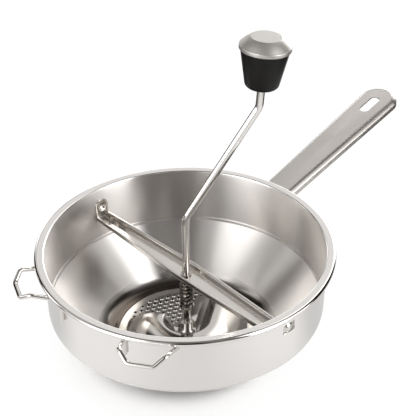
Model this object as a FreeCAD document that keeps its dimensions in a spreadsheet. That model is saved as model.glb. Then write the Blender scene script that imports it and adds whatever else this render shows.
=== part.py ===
"""Rotary food mill: a pan-like steel bowl with a welded cone, a loose sieve disc, and a crank that
turns a sprung blade on the disc.

Frame: millimetres, +Z up, origin on the bowl's axis at the level that the foot stands on, and +X
along the handle. Every driving size is a cell of the sheet "Sizes".
"""
import FreeCAD, Part
import math
import os

import Sketcher
from FreeCAD import Placement, Rotation, Vector

UP = Vector(0, 0, 1)
doc = FreeCAD.newDocument("FoodMill")

# ---------------------------------------------------------------- driving sizes
SIZES = {
    # bowl shell
    "wall_radius": 113.2,
    "wall_height": 52.1,
    "rim_overhang": 6.8,
    "bead_radius": 2.2,
    "shell_sheet": 0.8,
    "corner_radius": 7.8,
    "slot_width": 12.4,
    "slot_height": 8.8,
    "slot_drop": 17.8,
    # cone
    "cone_sheet": 1.0,
    "cone_angle": 42.6,
    "skirt_height": 2.8,
    "seat_fillet": 18.0,
    "seat_land": 2.3,
    "seat_height": 8.2,
    "collar_radius": 55.0,
    "foot_flange": 3.0,
    # sieve disc
    "disc_radius": 58.4,
    "disc_sheet": 0.8,
    "disc_play": 0.5,
    "sieve_hole": 2.5,
    "sieve_pitch": 5.6,
    "sieve_field": 51.6,
    "sieve_centre": 7.5,
    "sieve_turn": -27.3,
    # handle and its saddle
    "saddle_sheet": 1.5,
    "saddle_width": 44.0,
    "saddle_height": 17.0,
    "saddle_drop": 5.2,
    "handle_length": 187.3,
    "handle_tilt": 10.0,
    "handle_drop": 6.5,
    "handle_root_width": 28.3,
    "handle_tip_width": 37.4,
    "handle_depth": 8.1,
    "handle_edge": 5.0,
    "handle_sheet": 1.2,
    "handle_notch_length": 11.0,
    "handle_notch_depth": 3.0,
    "hang_slot_length": 27.4,
    "hang_slot_width": 9.5,
    "hang_slot_margin": 19.0,
    # pot rests
    "hook_wire": 3.5,
    "hook_middle_angle": 180.7,
    "hook_angle": 28.0,
    "hook_half_width": 20.8,
    "hook_shoulder_half": 17.0,
    "hook_nose_half": 9.5,
    "hook_shoulder_reach": 16.4,
    "hook_nose_reach": 23.0,
    "hook_drop": 8.0,
    "hook_rise": 5.8,
    "hook_leg": 13.0,
    "hook_bend": 5.0,
    "hook_seating": 0.3,
    "left_leg_offset": 10.5,
    "right_leg_offset": -2.5,
    # bridge
    "bridge_angle": 83.9,
    "bridge_drop": 31.6,
    "bridge_sheet": 1.2,
    "bridge_depth": 6.8,
    "bridge_lip": 1.4,
    "bridge_centre_width": 19.2,
    "bridge_end_width": 11.2,
    "bridge_wall_gap": 0.4,
    "tab_width": 12.8,
    "tab_drop": 10.8,
    "boss_radius": 4.2,
    "boss_out": 2.3,
    "drain_width": 2.6,
    "drain_length": 6.4,
    "drain_inset": 8.2,
    # bush, spring and washers
    "running_gap": 0.06,
    "face_gap": 0.05,
    "bush_wall": 1.0,
    "bush_flange": 0.5,
    "bush_flange_height": 1.2,
    "bush_tail": 1.6,
    "washer_sheet": 0.8,
    "washer_radius": 6.4,
    "spring_radius": 4.95,
    "spring_wire": 1.6,
    "spring_turns": 7.5,
    "collar_outer": 5.2,
    "collar_height": 2.4,
    "collar_clearance": 14.9,
    "pin_diameter": 1.6,
    # crank rod
    "rod_diameter": 6.0,
    "rod_tip_diameter": 5.0,
    "tip_reach": 3.2,
    "crank_angle": -46.1,
    "crank_throw": 55.6,
    "lower_bend_rise": 22.5,
    "elbow_rise": 119.5,
    "lower_bend_radius": 18.0,
    "upper_bend_radius": 12.0,
    "stem_lean": 3.4,
    # blade
    "blade_sheet": 1.0,
    "blade_gap": 1.0,
    "blade_plate_radius": 12.0,
    "blade_wall_angle": 54.0,
    "blade_foot_round": 2.0,
    "blade_crest_radius": 21.0,
    "blade_crest_height": 12.2,
    "blade_crest_round": 1.6,
    "blade_radius": 51.0,
    "blade_rim_gap": 0.7,
    "blade_sweep": 182.0,
    "blade_leg": 46.0,
    "blade_floor_overlap": 2.0,
    "blade_angle": 116.7,
    "hub_radius": 5.2,
    "hub_height": 8.6,
    "hub_foot_radius": 7.6,
    "hub_foot_height": 1.6,
    # knob, measured from the elbow along the leaning stem
    "knob_bottom": 16.0,
    "grip_top": 46.0,
    "cap_top": 54.4,
    "grip_bottom_radius": 12.2,
    "grip_round": 4.0,
    "cap_radius": 18.9,
    "cap_brim": 2.6,
    "cap_flat_radius": 11.4,
    "cap_sheet": 0.9,
    "cap_round": 18.0,
    "sleeve_outer": 4.8,
    "sleeve_inset": 4.0,
    "sleeve_length": 18.0,
    "recess_radius": 7.2,
    "recess_depth": 9.0,
    "ring_outer": 5.4,
    "ring_height": 1.5,
}


def write_sheet():
    """Puts each size in a row of the sheet, with its name as the cell's alias."""
    sheet = doc.addObject("Spreadsheet::Sheet", "Sizes")
    for row, (alias, number) in enumerate(SIZES.items(), start=1):
        sheet.set(f"A{row}", alias)
        sheet.set(f"B{row}", str(number))
        sheet.setAlias(f"B{row}", alias)
    doc.recompute()
    return sheet


class Size:
    """A size that knows its number and the formula that ties it to the sheet."""

    def __init__(self, number, formula):
        self.number = float(number)
        self.formula = formula

    def join(self, other, sign, number):
        return Size(number, f"({self.formula} {sign} {as_size(other).formula})")

    def __add__(self, other):
        return self.join(other, "+", self.number + as_size(other).number)

    def __sub__(self, other):
        return self.join(other, "-", self.number - as_size(other).number)

    def __mul__(self, other):
        return self.join(other, "*", self.number * as_size(other).number)

    def __truediv__(self, other):
        return self.join(other, "/", self.number / as_size(other).number)

    def __float__(self):
        return self.number


def as_size(value):
    """A Size for a plain number, or the Size itself."""
    return value if isinstance(value, Size) else Size(value, str(value))


def sine(angle):
    return Size(math.sin(math.radians(angle.number)), f"sin({angle.formula})")


def cosine(angle):
    return Size(math.cos(math.radians(angle.number)), f"cos({angle.formula})")


SHEET = write_sheet()


class Bench:
    """The sheet's sizes as attributes: rim_radius is a Size."""


S = Bench()
for name in SIZES:
    setattr(S, name, Size(SHEET.get(name), f"Sizes.{name}"))

NODES = []


def node(thing, label):
    """Labels an object of the document and keeps it as a piece to export."""
    thing.Label = label
    NODES.append(thing)
    return thing


def piece(label, shape, placement=None):
    """A piece whose shape is worked out in code."""
    feature = doc.addObject("Part::Feature", label)
    feature.Shape = shape
    if placement is not None:
        feature.Placement = placement
    return node(feature, label)


# ---------------------------------------------------------------- turned and pressed round pieces
def draw_outline(sketch, corners, arcs):
    """A closed outline through the corners. arcs holds {edge: (radius, centre)} for round edges."""
    count = len(corners)
    tips = []
    for edge in range(count):
        start, end = corners[edge], corners[(edge + 1) % count]
        a = Vector(float(start[0]), float(start[1]), 0)
        b = Vector(float(end[0]), float(end[1]), 0)
        if edge not in arcs:
            sketch.addGeometry(Part.LineSegment(a, b), False)
            tips.append((1, 2))
            continue
        radius, centre = arcs[edge]
        c = Vector(float(centre[0]), float(centre[1]), 0)
        first = math.atan2(a.y - c.y, a.x - c.x)
        last = math.atan2(b.y - c.y, b.x - c.x)
        leftwards = (last - first) % (2 * math.pi) < math.pi
        circle = Part.Circle(c, UP, float(radius))
        ends = (first, last) if leftwards else (last, first)
        sketch.addGeometry(Part.ArcOfCircle(circle, *ends), False)
        tips.append((1, 2) if leftwards else (2, 1))
    for edge in range(count):
        after = (edge + 1) % count
        joint = Sketcher.Constraint("Coincident", edge, tips[edge][1], after, tips[after][0])
        sketch.addConstraint(joint)
    for edge, corner in enumerate(corners):
        pin_point(sketch, edge, tips[edge][0], corner)
    for edge, (radius, _) in arcs.items():
        number = sketch.addConstraint(Sketcher.Constraint("Radius", edge, float(radius)))
        sketch.setExpression(f"Constraints[{number}]", as_size(radius).formula)


def pin_point(sketch, edge, tip, corner):
    """Ties a point of the sketch to its two formulas, or to an axis where it lies on one."""
    for kind, axis, value in (("DistanceX", -2, corner[0]), ("DistanceY", -1, corner[1])):
        if float(value) == 0:
            sketch.addConstraint(Sketcher.Constraint("PointOnObject", edge, tip, axis))
            continue
        rule = Sketcher.Constraint(kind, -1, 1, edge, tip, float(value))
        number = sketch.addConstraint(rule)
        sketch.setExpression(f"Constraints[{number}]", as_size(value).formula)


def turned(label, corners, arcs=None):
    """A body made by turning an outline of (radius, height) corners about Z."""
    body = doc.addObject("PartDesign::Body", label)
    sketch = body.newObject("Sketcher::SketchObject", label + "_outline")
    plane = next(p for p in body.Origin.OriginFeatures if p.Role == "XZ_Plane")
    sketch.AttachmentSupport = (plane, [""])
    sketch.MapMode = "FlatFace"
    draw_outline(sketch, corners, arcs or {})
    turn = body.newObject("PartDesign::Revolution", label + "_turn")
    turn.Profile = sketch
    turn.ReferenceAxis = (sketch, ["V_Axis"])
    turn.Angle = 360.0
    return body


def ring(label, inner, outer, bottom, top):
    """A plain ring or washer about Z."""
    return turned(label, [(inner, bottom), (outer, bottom), (outer, top), (inner, top)])


# ---------------------------------------------------------------- the bowl's shared lines
wall_inside = S.wall_radius - S.shell_sheet
recess = S.disc_radius + S.disc_play
slope_sin, slope_cos = sine(S.cone_angle), cosine(S.cone_angle)
seat_arc = (recess + S.seat_land, S.seat_height + S.seat_fillet)
fold_radius = wall_inside - S.cone_sheet
slope_run = (fold_radius - seat_arc[0] - S.seat_fillet * slope_sin) / slope_cos
fold = (fold_radius, seat_arc[1] - S.seat_fillet * slope_cos + slope_run * slope_sin)
rim_height = fold[1] + S.wall_height
rim_radius = S.wall_radius + S.rim_overhang
corner_inside = S.corner_radius - S.shell_sheet
corner_reach = S.wall_radius - S.corner_radius
corner_lead = (fold[0] - corner_reach) * slope_sin - (corner_inside - S.cone_sheet)
corner_centre = (corner_reach, fold[1] - corner_lead / slope_cos)
slot_level = float(rim_height - S.slot_drop)

# ---------------------------------------------------------------- levels on the crank's axis
rod_radius = S.rod_diameter / 2
web_top = rim_height - S.bridge_drop
web_bottom = web_top - S.bridge_sheet
bush_bore = rod_radius + S.running_gap
disc_bottom = S.seat_height - S.disc_sheet
blade_bottom = S.seat_height + S.blade_gap
blade_top = blade_bottom + S.blade_sheet
collar_top = blade_top + S.hub_height + S.collar_clearance + S.collar_height
thrust_bottom = collar_top + S.face_gap
spring_bottom = thrust_bottom + S.washer_sheet
spring_top = web_bottom - S.face_gap - S.washer_sheet
spring_length = spring_top - spring_bottom


# ---------------------------------------------------------------- cone with seat, outlet and foot
def cone_point(offset):
    """The foot of the cone's slope, where its fillet starts, on a skin that lies offset below."""
    reach = S.seat_fillet + offset
    return (seat_arc[0] + reach * slope_sin, seat_arc[1] - reach * slope_cos)


def corner_end(radius):
    """Where an arc about the shell's lower corner centre meets the cone's slope."""
    return (corner_centre[0] + radius * slope_sin, corner_centre[1] - radius * slope_cos)


def make_hopper_cone():
    """One pressed sheet: skirt at the wall, slope, fillet, disc seat, outlet collar, foot flange."""
    sheet = S.cone_sheet
    collar_inside = S.collar_radius - sheet
    corners = [
        (S.collar_radius - S.foot_flange, as_size(0)),
        (S.collar_radius, as_size(0)),
        (S.collar_radius, disc_bottom - sheet),
        (recess + sheet, disc_bottom - sheet),
        (recess + sheet, S.seat_height - sheet),
        (seat_arc[0], S.seat_height - sheet),
        cone_point(sheet),
        corner_end(corner_inside),
        (wall_inside, corner_centre[1]),
        (wall_inside, fold[1] + S.skirt_height),
        (fold[0], fold[1] + S.skirt_height),
        fold,
        cone_point(as_size(0)),
        (seat_arc[0], S.seat_height),
        (recess, S.seat_height),
        (recess, disc_bottom),
        (collar_inside, disc_bottom),
        (collar_inside, sheet),
        (S.collar_radius - S.foot_flange, sheet),
    ]
    arcs = {
        5: (S.seat_fillet + sheet, seat_arc),
        7: (corner_inside, corner_centre),
        12: (S.seat_fillet, seat_arc),
    }
    return node(turned("hopper_cone", corners, arcs), "hopper_cone")


# ---------------------------------------------------------------- bowl shell
def make_bowl_shell():
    """Wall with a flat rim and a rolled bead. Its lower corner ends on the cone's slope."""
    bead_reach = rim_radius - S.bead_radius
    bead_middle = rim_height - S.bead_radius
    bead_bottom = rim_height - S.bead_radius * 2
    corners = [
        (wall_inside, rim_height),
        (bead_reach, rim_height),
        (rim_radius, bead_middle),
        (bead_reach, bead_bottom),
        (bead_reach, rim_height - S.shell_sheet),
        (S.wall_radius, rim_height - S.shell_sheet),
        (S.wall_radius, corner_centre[1]),
        corner_end(S.corner_radius),
        corner_end(corner_inside),
        (wall_inside, corner_centre[1]),
    ]
    arcs = {
        1: (S.bead_radius, (bead_reach, bead_middle)),
        2: (S.bead_radius, (bead_reach, bead_middle)),
        6: (S.corner_radius, corner_centre),
        8: (corner_inside, corner_centre),
    }
    blank = turned("shell_blank", corners, arcs)
    punch = doc.addObject("Part::Box", "slot_punch")
    reach = rim_radius * 2
    punch.setExpression("Length", reach.formula)
    punch.setExpression("Width", S.slot_width.formula)
    punch.setExpression("Height", S.slot_height.formula)
    spin = Rotation(UP, float(S.bridge_angle))
    corner = Vector(-reach.number / 2, -S.slot_width.number / 2, slot_level - S.slot_height.number / 2)
    punch.Placement = Placement(spin.multVec(corner), spin)
    cut = doc.addObject("Part::Cut", "bowl_shell")
    cut.Base = blank
    cut.Tool = punch
    return node(cut, "bowl_shell")


# ---------------------------------------------------------------- sieve disc
def make_sieve_disc():
    """Flat disc with staggered rows of punched holes and a centre hole for the rod's tip."""
    top, sheet = float(S.seat_height), float(S.disc_sheet)
    disc = Part.makeCylinder(float(S.disc_radius), sheet, Vector(0, 0, top - sheet))
    centre_hole = float(S.rod_tip_diameter / 2 + S.running_gap)
    low = top - sheet * 2
    punches = [Part.makeCylinder(centre_hole, sheet * 3, Vector(0, 0, low))]
    pitch, field = float(S.sieve_pitch), float(S.sieve_field)
    along = Vector(pitch, 0, 0)
    across = Vector(pitch / 2, pitch * math.sqrt(3) / 2, 0)
    reach = int(field / pitch) + 4
    for row in range(-reach, reach + 1):
        for step in range(-reach, reach + 1):
            spot = along * step + across * row
            if float(S.sieve_centre) < spot.Length < field:
                spot.z = low
                punches.append(Part.makeCylinder(float(S.sieve_hole / 2), sheet * 3, spot))
    sieve = disc.cut(Part.makeCompound(punches))
    sieve.rotate(Vector(), UP, float(S.sieve_turn))
    return piece("sieve_disc", sieve)


# ---------------------------------------------------------------- handle
def tray(root, root_half, tip_half, reach, depth, edge):
    """A solid handle blank under z = 0: tapered sides, round tip and rounded top edges."""
    start, wall = root - tip_half, float(S.wall_radius)
    grow = (tip_half - root_half) / (reach - tip_half - wall)
    taper = math.atan(grow)
    base_half = root_half + grow * (start - wall)
    centre = (reach - math.cos(taper) * (root_half - grow * wall)) / (1 + grow * math.cos(taper))
    radius = reach - centre
    side = Vector(centre - radius * math.sin(taper), radius * math.cos(taper), 0)
    mirror = Vector(side.x, -side.y, 0)
    outline = Part.Wire([
        Part.LineSegment(Vector(start, base_half, 0), side).toShape(),
        Part.Arc(side, Vector(reach, 0, 0), mirror).toShape(),
        Part.LineSegment(mirror, Vector(start, -base_half, 0)).toShape(),
        Part.LineSegment(Vector(start, -base_half, 0), Vector(start, base_half, 0)).toShape(),
    ])
    block = Part.Face(outline).extrude(Vector(0, 0, -depth))
    inner = start + edge
    top = [e for e in block.Edges if abs(e.BoundBox.ZMin) < 1e-6 and e.BoundBox.XMax > inner]
    return block.makeFillet(edge, top)


def stadium(length, width, depth):
    """A solid with round ends along X, from its far end at x = 0."""
    radius = width / 2
    box = Part.makeBox(length - width, width, depth, Vector(radius - length, -radius, -depth / 2))
    near = Part.makeCylinder(radius, depth, Vector(radius - length, 0, -depth / 2))
    far = Part.makeCylinder(radius, depth, Vector(-radius, 0, -depth / 2))
    return box.fuse([near, far]).removeSplitter()


def make_handle():
    """Pressed channel handle that rises from the saddle, and the saddle plate on the wall."""
    root = float(S.wall_radius + S.saddle_sheet)
    tilt = math.radians(float(S.handle_tilt))
    reach = root + float(S.handle_length) / math.cos(tilt)
    sheet, depth, edge = float(S.handle_sheet), float(S.handle_depth), float(S.handle_edge)
    halves = float(S.handle_root_width / 2), float(S.handle_tip_width / 2)
    shell = tray(root, halves[0], halves[1], reach, depth, edge)
    hollow = tray(root, halves[0] - sheet, halves[1] - sheet, reach - sheet, depth * 2, edge - sheet)
    hollow.translate(Vector(0, 0, -sheet))
    slot = stadium(float(S.hang_slot_length), float(S.hang_slot_width), depth * 3)
    slot.translate(Vector(reach - float(S.hang_slot_margin), 0, 0))
    notch_length, notch = float(S.handle_notch_length), float(S.handle_notch_depth)
    width = 4 * halves[1]
    trim = Part.makeBox(notch_length * 2, width, notch * 2)
    trim.translate(Vector(reach - notch_length, -width / 2, -depth - notch))
    channel = shell.cut([hollow, slot, trim])
    lift = Placement(Vector(-root, 0, 0), Rotation())
    rise = Vector(root, 0, float(rim_height - S.handle_drop))
    channel.Placement = Placement(rise, Rotation(Vector(0, 1, 0), -float(S.handle_tilt))).multiply(lift)
    keep = Part.makeCylinder(root, float(rim_height) * 2)
    piece("pan_handle", channel.cut(keep))

    top = float(rim_height - S.saddle_drop)
    height, width = float(S.saddle_height), float(S.saddle_width)
    band = Part.makeCylinder(root, height, Vector(0, 0, top - height))
    band = band.cut(Part.makeCylinder(float(S.wall_radius), height, Vector(0, 0, top - height)))
    block = Part.makeBox(root, width, height, Vector(root / 2, -width / 2, top - height))
    long_edges = [e for e in block.Edges if e.BoundBox.XLength > root / 3]
    block = block.makeFillet(height / 4, long_edges)
    piece("handle_saddle", band.common(block))


# ---------------------------------------------------------------- bent wire and rod
def rounded_path(points, bend):
    """A wire of straight runs joined by tangent arcs of one radius, or a list of radii."""
    bends = bend if isinstance(bend, list) else [bend] * (len(points) - 2)
    edges, start = [], points[0]
    for corner, after, radius in zip(points[1:-1], points[2:], bends):
        back, ahead = (start - corner).normalize(), (after - corner).normalize()
        half_turn = (math.pi - back.getAngle(ahead)) / 2
        run = radius * math.tan(half_turn)
        into, out = corner + back * run, corner + ahead * run
        middle = (back + ahead).normalize()
        crown = corner + middle * (radius / math.cos(half_turn) - radius)
        edges.append(Part.LineSegment(start, into).toShape())
        edges.append(Part.Arc(into, crown, out).toShape())
        start = out
    edges.append(Part.LineSegment(start, points[-1]).toShape())
    return Part.Wire(edges)


def round_bar(path, diameter):
    """A round bar along a path of tangent edges."""
    first = path.Edges[0]
    start = first.valueAt(first.FirstParameter)
    heading = first.tangentAt(first.FirstParameter)
    section = Part.Wire(Part.makeCircle(diameter / 2, start, heading))
    return path.makePipeShell([section], True, False)


def make_rest_hook(label, side, run):
    """A wire pot rest. side is 1 for +Y and -1 for -Y; run is how far its leg goes along the wall."""
    reach = float(S.wall_radius + S.hook_wire / 2 - S.hook_seating)
    level = float(rim_height - S.hook_drop)
    shoulder = level + float(S.hook_rise)
    spin = math.radians(float(S.hook_middle_angle) - side * float(S.hook_angle))

    def on_wall(along, height):
        turn = spin + side * along / reach
        return Vector(reach * math.cos(turn), reach * math.sin(turn), height)

    def off_wall(along, out, height):
        ahead = Vector(math.cos(spin), math.sin(spin), 0)
        aside = Vector(-math.sin(spin), math.cos(spin), 0)
        return ahead * (float(S.wall_radius) + out) + aside * (side * along) + UP * height

    half = float(S.hook_half_width)
    leg = on_wall(half + run, level - float(S.hook_leg))
    points = [leg, on_wall(half + run, level)]
    bends = [float(S.hook_wire)]
    if run > float(S.hook_wire) * 2:
        points.append(on_wall(half, level))
        bends.append(float(S.hook_wire))
    points += [
        off_wall(float(S.hook_shoulder_half), float(S.hook_shoulder_reach), shoulder),
        off_wall(float(S.hook_nose_half), float(S.hook_nose_reach), level),
        off_wall(-float(S.hook_nose_half), float(S.hook_nose_reach), level),
        off_wall(-float(S.hook_shoulder_half), float(S.hook_shoulder_reach), shoulder),
        on_wall(-half, level),
    ]
    bends += [float(S.hook_bend) * 0.8, float(S.hook_bend), float(S.hook_bend), float(S.hook_bend) * 0.8]
    wire = round_bar(rounded_path(points, bends), float(S.hook_wire))
    wall = Part.makeCylinder(float(S.wall_radius), float(rim_height))
    return piece(label, wire.cut(wall))


def make_crank_rod():
    """Round rod: plain lower tip, shaft, lower bend, sloping arm, upper bend and leaning stem."""
    radius, tip_radius = float(rod_radius), float(S.rod_tip_diameter / 2)
    tip_bottom, shoulder = float(disc_bottom - S.tip_reach), float(blade_bottom)
    top = elbow + lean_axis * float(S.grip_top)
    bend = Vector(0, 0, float(rim_height + S.lower_bend_rise))
    radii = [float(S.lower_bend_radius), float(S.upper_bend_radius)]
    path = rounded_path([Vector(0, 0, shoulder), bend, elbow, top], radii)
    tip = Part.makeCylinder(tip_radius, shoulder - tip_bottom + radius, Vector(0, 0, tip_bottom))
    rod = round_bar(path, float(S.rod_diameter)).fuse(tip).removeSplitter()
    return piece("crank_rod", rod.cut([pin_hole(collar_pin_level), pin_hole(hub_pin_level)]))


def pin_hole(level):
    """A cross pin through the shaft at that level."""
    radius, half = float(S.pin_diameter / 2), float(S.rod_diameter)
    return Part.makeCylinder(radius, half * 2, Vector(-half, 0, level), Vector(1, 0, 0))


crank_turn = math.radians(float(S.crank_angle))
outward = Vector(math.cos(crank_turn), math.sin(crank_turn), 0)
elbow = outward * float(S.crank_throw) + UP * float(rim_height + S.elbow_rise)
lean = math.radians(float(S.stem_lean))
lean_axis = outward * math.sin(lean) + UP * math.cos(lean)
knob_frame = Placement(elbow, Rotation(UP, lean_axis))
collar_pin_level = float(collar_top - S.collar_height / 2)
hub_pin_level = float(blade_top + S.hub_foot_height + (S.hub_height - S.hub_foot_height) / 2)


# ---------------------------------------------------------------- bridge
def plan(half_centre, half_end, length, bottom, height):
    """A bar that tapers both ways from its centre, along X."""
    half = length / 2
    corners = [
        Vector(-half, half_end, bottom),
        Vector(0, half_centre, bottom),
        Vector(half, half_end, bottom),
        Vector(half, -half_end, bottom),
        Vector(0, -half_centre, bottom),
        Vector(-half, -half_end, bottom),
    ]
    outline = Part.makePolygon(corners + corners[:1])
    return Part.Face(outline).extrude(Vector(0, 0, height))


def bridge_tab(side, face_reach):
    """An upturned end: a round-topped plate with a pressed boss that enters the wall's slot."""
    sheet, width = float(S.bridge_sheet), float(S.tab_width)
    bottom, top = float(web_bottom), float(rim_height - S.tab_drop)
    inner = face_reach - sheet
    plate = Part.makeBox(sheet, width, top - bottom, Vector(inner, -width / 2, bottom))
    upper = [e for e in plate.Edges if abs(e.BoundBox.ZMin - top) < 1e-6 and e.BoundBox.YLength < 1e-6]
    plate = plate.makeFillet(width * 0.45, upper)
    outwards = Vector(1, 0, 0)
    radius, out = float(S.boss_radius), float(S.boss_out)
    ball = (radius ** 2 + out ** 2) / (2 * out)
    centre = Vector(face_reach + out - ball, 0, slot_level)
    column = Part.makeCylinder(radius + sheet, ball, Vector(face_reach - sheet, 0, slot_level), outwards)
    boss = Part.makeSphere(ball, centre).common(column)
    dent = Part.makeSphere(ball - sheet, centre).common(column)
    tab = plate.fuse(boss).cut(dent)
    if side < 0:
        tab.rotate(Vector(), UP, 180)
    return tab


def make_bridge_bar():
    """Pressed channel with lipped edges and two upturned tabs."""
    sheet, lip, depth = float(S.bridge_sheet), float(S.bridge_lip), float(S.bridge_depth)
    half_centre, half_end = float(S.bridge_centre_width / 2), float(S.bridge_end_width / 2)
    bottom = float(web_bottom)
    reach = float(wall_inside - S.bridge_wall_gap)
    outer = plan(half_centre, half_end, 2 * reach, bottom, depth)
    brim_length = 2 * (reach - sheet * 2)
    brim = plan(half_centre + lip, half_end + lip, brim_length, bottom + depth - sheet, sheet)
    inner_length = 2 * (reach - sheet)
    inner = plan(half_centre - sheet, half_end - sheet, inner_length, bottom + sheet, depth)
    channel = outer.fuse(brim).cut(inner)
    bore = Part.makeCylinder(float(bush_bore + S.bush_wall), depth * 2, Vector(0, 0, bottom - depth))
    drain = stadium(float(S.drain_length), float(S.drain_width), depth)
    drain.translate(Vector(reach - float(S.drain_inset) + float(S.drain_length / 2), 0, bottom))
    bar = channel.fuse([bridge_tab(1, reach), bridge_tab(-1, reach)]).cut([bore, drain])
    bar.rotate(Vector(), UP, float(S.bridge_angle))
    return piece("bridge_bar", bar)


# ---------------------------------------------------------------- shaft fittings
def make_shaft_fittings():
    """Bush, washers, spring, collar and its pin, from the bridge down."""
    bush_outer = bush_bore + S.bush_wall
    tail = spring_top - S.bush_tail
    bush_top = web_top + S.bush_flange_height
    corners = [
        (bush_bore, tail),
        (bush_outer, tail),
        (bush_outer, web_top),
        (bush_outer + S.bush_flange, web_top),
        (bush_outer + S.bush_flange, bush_top),
        (bush_bore, bush_top),
    ]
    node(turned("bridge_bush", corners), "bridge_bush")
    washer_bore = bush_outer + S.face_gap
    top_face = web_bottom - S.face_gap
    node(ring("spring_washer", washer_bore, S.washer_radius, spring_top, top_face), "spring_washer")
    thrust_bore = rod_radius + S.running_gap
    thrust = ring("thrust_washer", thrust_bore, S.washer_radius, thrust_bottom, spring_bottom)
    node(thrust, "thrust_washer")
    collar_bottom = collar_top - S.collar_height
    collar = ring("collar_blank", rod_radius, S.collar_outer, collar_bottom, collar_top)
    drilled(collar, "shaft_collar", collar_pin_level)
    cross_pin("collar_pin", float(S.collar_outer), collar_pin_level)
    make_spring()


def drilled(blank, label, level):
    """A turned blank with a cross hole for its pin."""
    drill = doc.addObject("Part::Cylinder", label + "_drill")
    half = float(S.hub_foot_radius)
    drill.setExpression("Radius", (S.pin_diameter / 2).formula)
    drill.Height = half * 2
    drill.Placement = Placement(Vector(-half, 0, level), Rotation(UP, Vector(1, 0, 0)))
    cut = doc.addObject("Part::Cut", label)
    cut.Base = blank
    cut.Tool = drill
    return node(cut, label)


def cross_pin(label, half_length, level):
    """A pin across the shaft, flush with the piece that it holds."""
    pin = doc.addObject("Part::Cylinder", label)
    pin.setExpression("Radius", (S.pin_diameter / 2).formula)
    pin.Height = 2 * half_length
    pin.Placement = Placement(Vector(-half_length, 0, level), Rotation(UP, Vector(1, 0, 0)))
    return node(pin, label)


def make_spring():
    """Helical pressure spring between the two washers, with a wire radius left at each end."""
    wire_radius = float(S.spring_wire / 2)
    bottom = float(spring_bottom) + wire_radius
    rise = float(spring_length) - 2 * wire_radius
    helix = Part.makeHelix(rise / float(S.spring_turns), rise, float(S.spring_radius))
    helix.translate(Vector(0, 0, bottom))
    start = Vector(float(S.spring_radius), 0, bottom)
    section = Part.Wire(Part.makeCircle(wire_radius, start, Vector(0, 1, 0)))
    coil = Part.Wire(helix).makePipeShell([section], True, True)
    return piece("pressure_spring", coil)


# ---------------------------------------------------------------- blade and hub
def blade_section():
    """The blade's sheet in the XZ plane: hub plate, steep inner wall, crest and convex flank."""
    level, sheet = float(blade_bottom), float(S.blade_sheet)
    steep = math.radians(float(S.blade_wall_angle))
    round_over, crest = float(S.blade_crest_round), float(S.blade_crest_radius)
    top = level + float(S.blade_crest_height)
    centre = Vector(crest, 0, top - round_over)
    shoulder = centre + Vector(-math.sin(steep), 0, math.cos(steep)) * round_over
    crown = centre + Vector(-math.sin(steep / 2), 0, math.cos(steep / 2)) * round_over
    foot = Vector(shoulder.x - (shoulder.z - level) / math.tan(steep), 0, level)
    run = float(S.blade_radius) - crest
    drop = top - float(S.seat_height + S.blade_rim_gap)
    flank = (run ** 2 + drop ** 2) / (2 * drop)
    turn = math.asin(run / flank)
    middle = Vector(crest + flank * math.sin(turn / 2), 0, top - flank * (1 - math.cos(turn / 2)))
    peak = Vector(crest, 0, top)
    rim = Vector(crest + run, 0, top - drop)
    start = Vector(float(S.hub_radius), 0, level)
    inside = rounded_path([start, foot, shoulder], float(S.blade_foot_round))
    edges = inside.Edges + [Part.Arc(shoulder, crown, peak).toShape(), Part.Arc(peak, middle, rim).toShape()]
    lower = Part.Wire(edges)
    upper = lower.makeOffset2D(sheet, 0, False, True)
    if upper.BoundBox.ZMax < lower.BoundBox.ZMax:
        upper = lower.makeOffset2D(-sheet, 0, False, True)
    low, high = ends_of(lower), ends_of(upper)
    if (low[0] - high[0]).Length > (low[0] - high[1]).Length:
        high = high[::-1]
    caps = [Part.LineSegment(low[i], high[i]).toShape() for i in (0, 1)]
    return Part.Face(Part.Wire(Part.__sortEdges__(lower.Edges + upper.Edges + caps)))


def ends_of(wire):
    """The two end points of an open wire."""
    ordered = wire.OrderedVertexes
    return [ordered[0].Point, ordered[-1].Point]


def make_press_blade():
    """A half-round pressed blade that runs on into a straight leg, on a round hub plate."""
    section = blade_section()
    swept = section.revolve(Vector(), UP, float(S.blade_sweep))
    leg = section.extrude(Vector(0, float(S.blade_leg), 0))
    leg.rotate(Vector(), UP, float(S.blade_sweep))
    level, sheet = float(blade_bottom), float(S.blade_sheet)
    height, plate_radius = level + 2 * float(S.blade_crest_height), float(S.blade_plate_radius)
    inner = Part.makeCylinder(plate_radius, height)
    limit = Part.makeCylinder(float(S.blade_radius), height)
    plate = Part.makeCylinder(plate_radius, sheet, Vector(0, 0, level))
    reach, overlap = float(S.blade_leg), float(S.blade_floor_overlap)
    floor = Part.makeBox(plate_radius - sheet + overlap, reach, sheet, Vector(-overlap, 0, level))
    floor.rotate(Vector(), UP, float(S.blade_sweep))
    blade = swept.fuse([leg.common(limit).cut(inner), plate, floor.common(limit)])
    bore = Part.makeCylinder(float(rod_radius), height)
    blade = blade.cut(bore).removeSplitter()
    blade.rotate(Vector(), UP, float(S.blade_angle))
    return piece("press_blade", blade)


def make_blade_hub():
    """Turned hub on the blade's plate, pinned to the rod."""
    foot_top = blade_top + S.hub_foot_height
    corners = [
        (rod_radius, blade_top),
        (S.hub_foot_radius, blade_top),
        (S.hub_foot_radius, foot_top),
        (S.hub_radius, foot_top),
        (S.hub_radius, blade_top + S.hub_height),
        (rod_radius, blade_top + S.hub_height),
    ]
    drilled(turned("hub_blank", corners), "blade_hub", hub_pin_level)
    return cross_pin("hub_pin", float(S.hub_radius), hub_pin_level)


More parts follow.
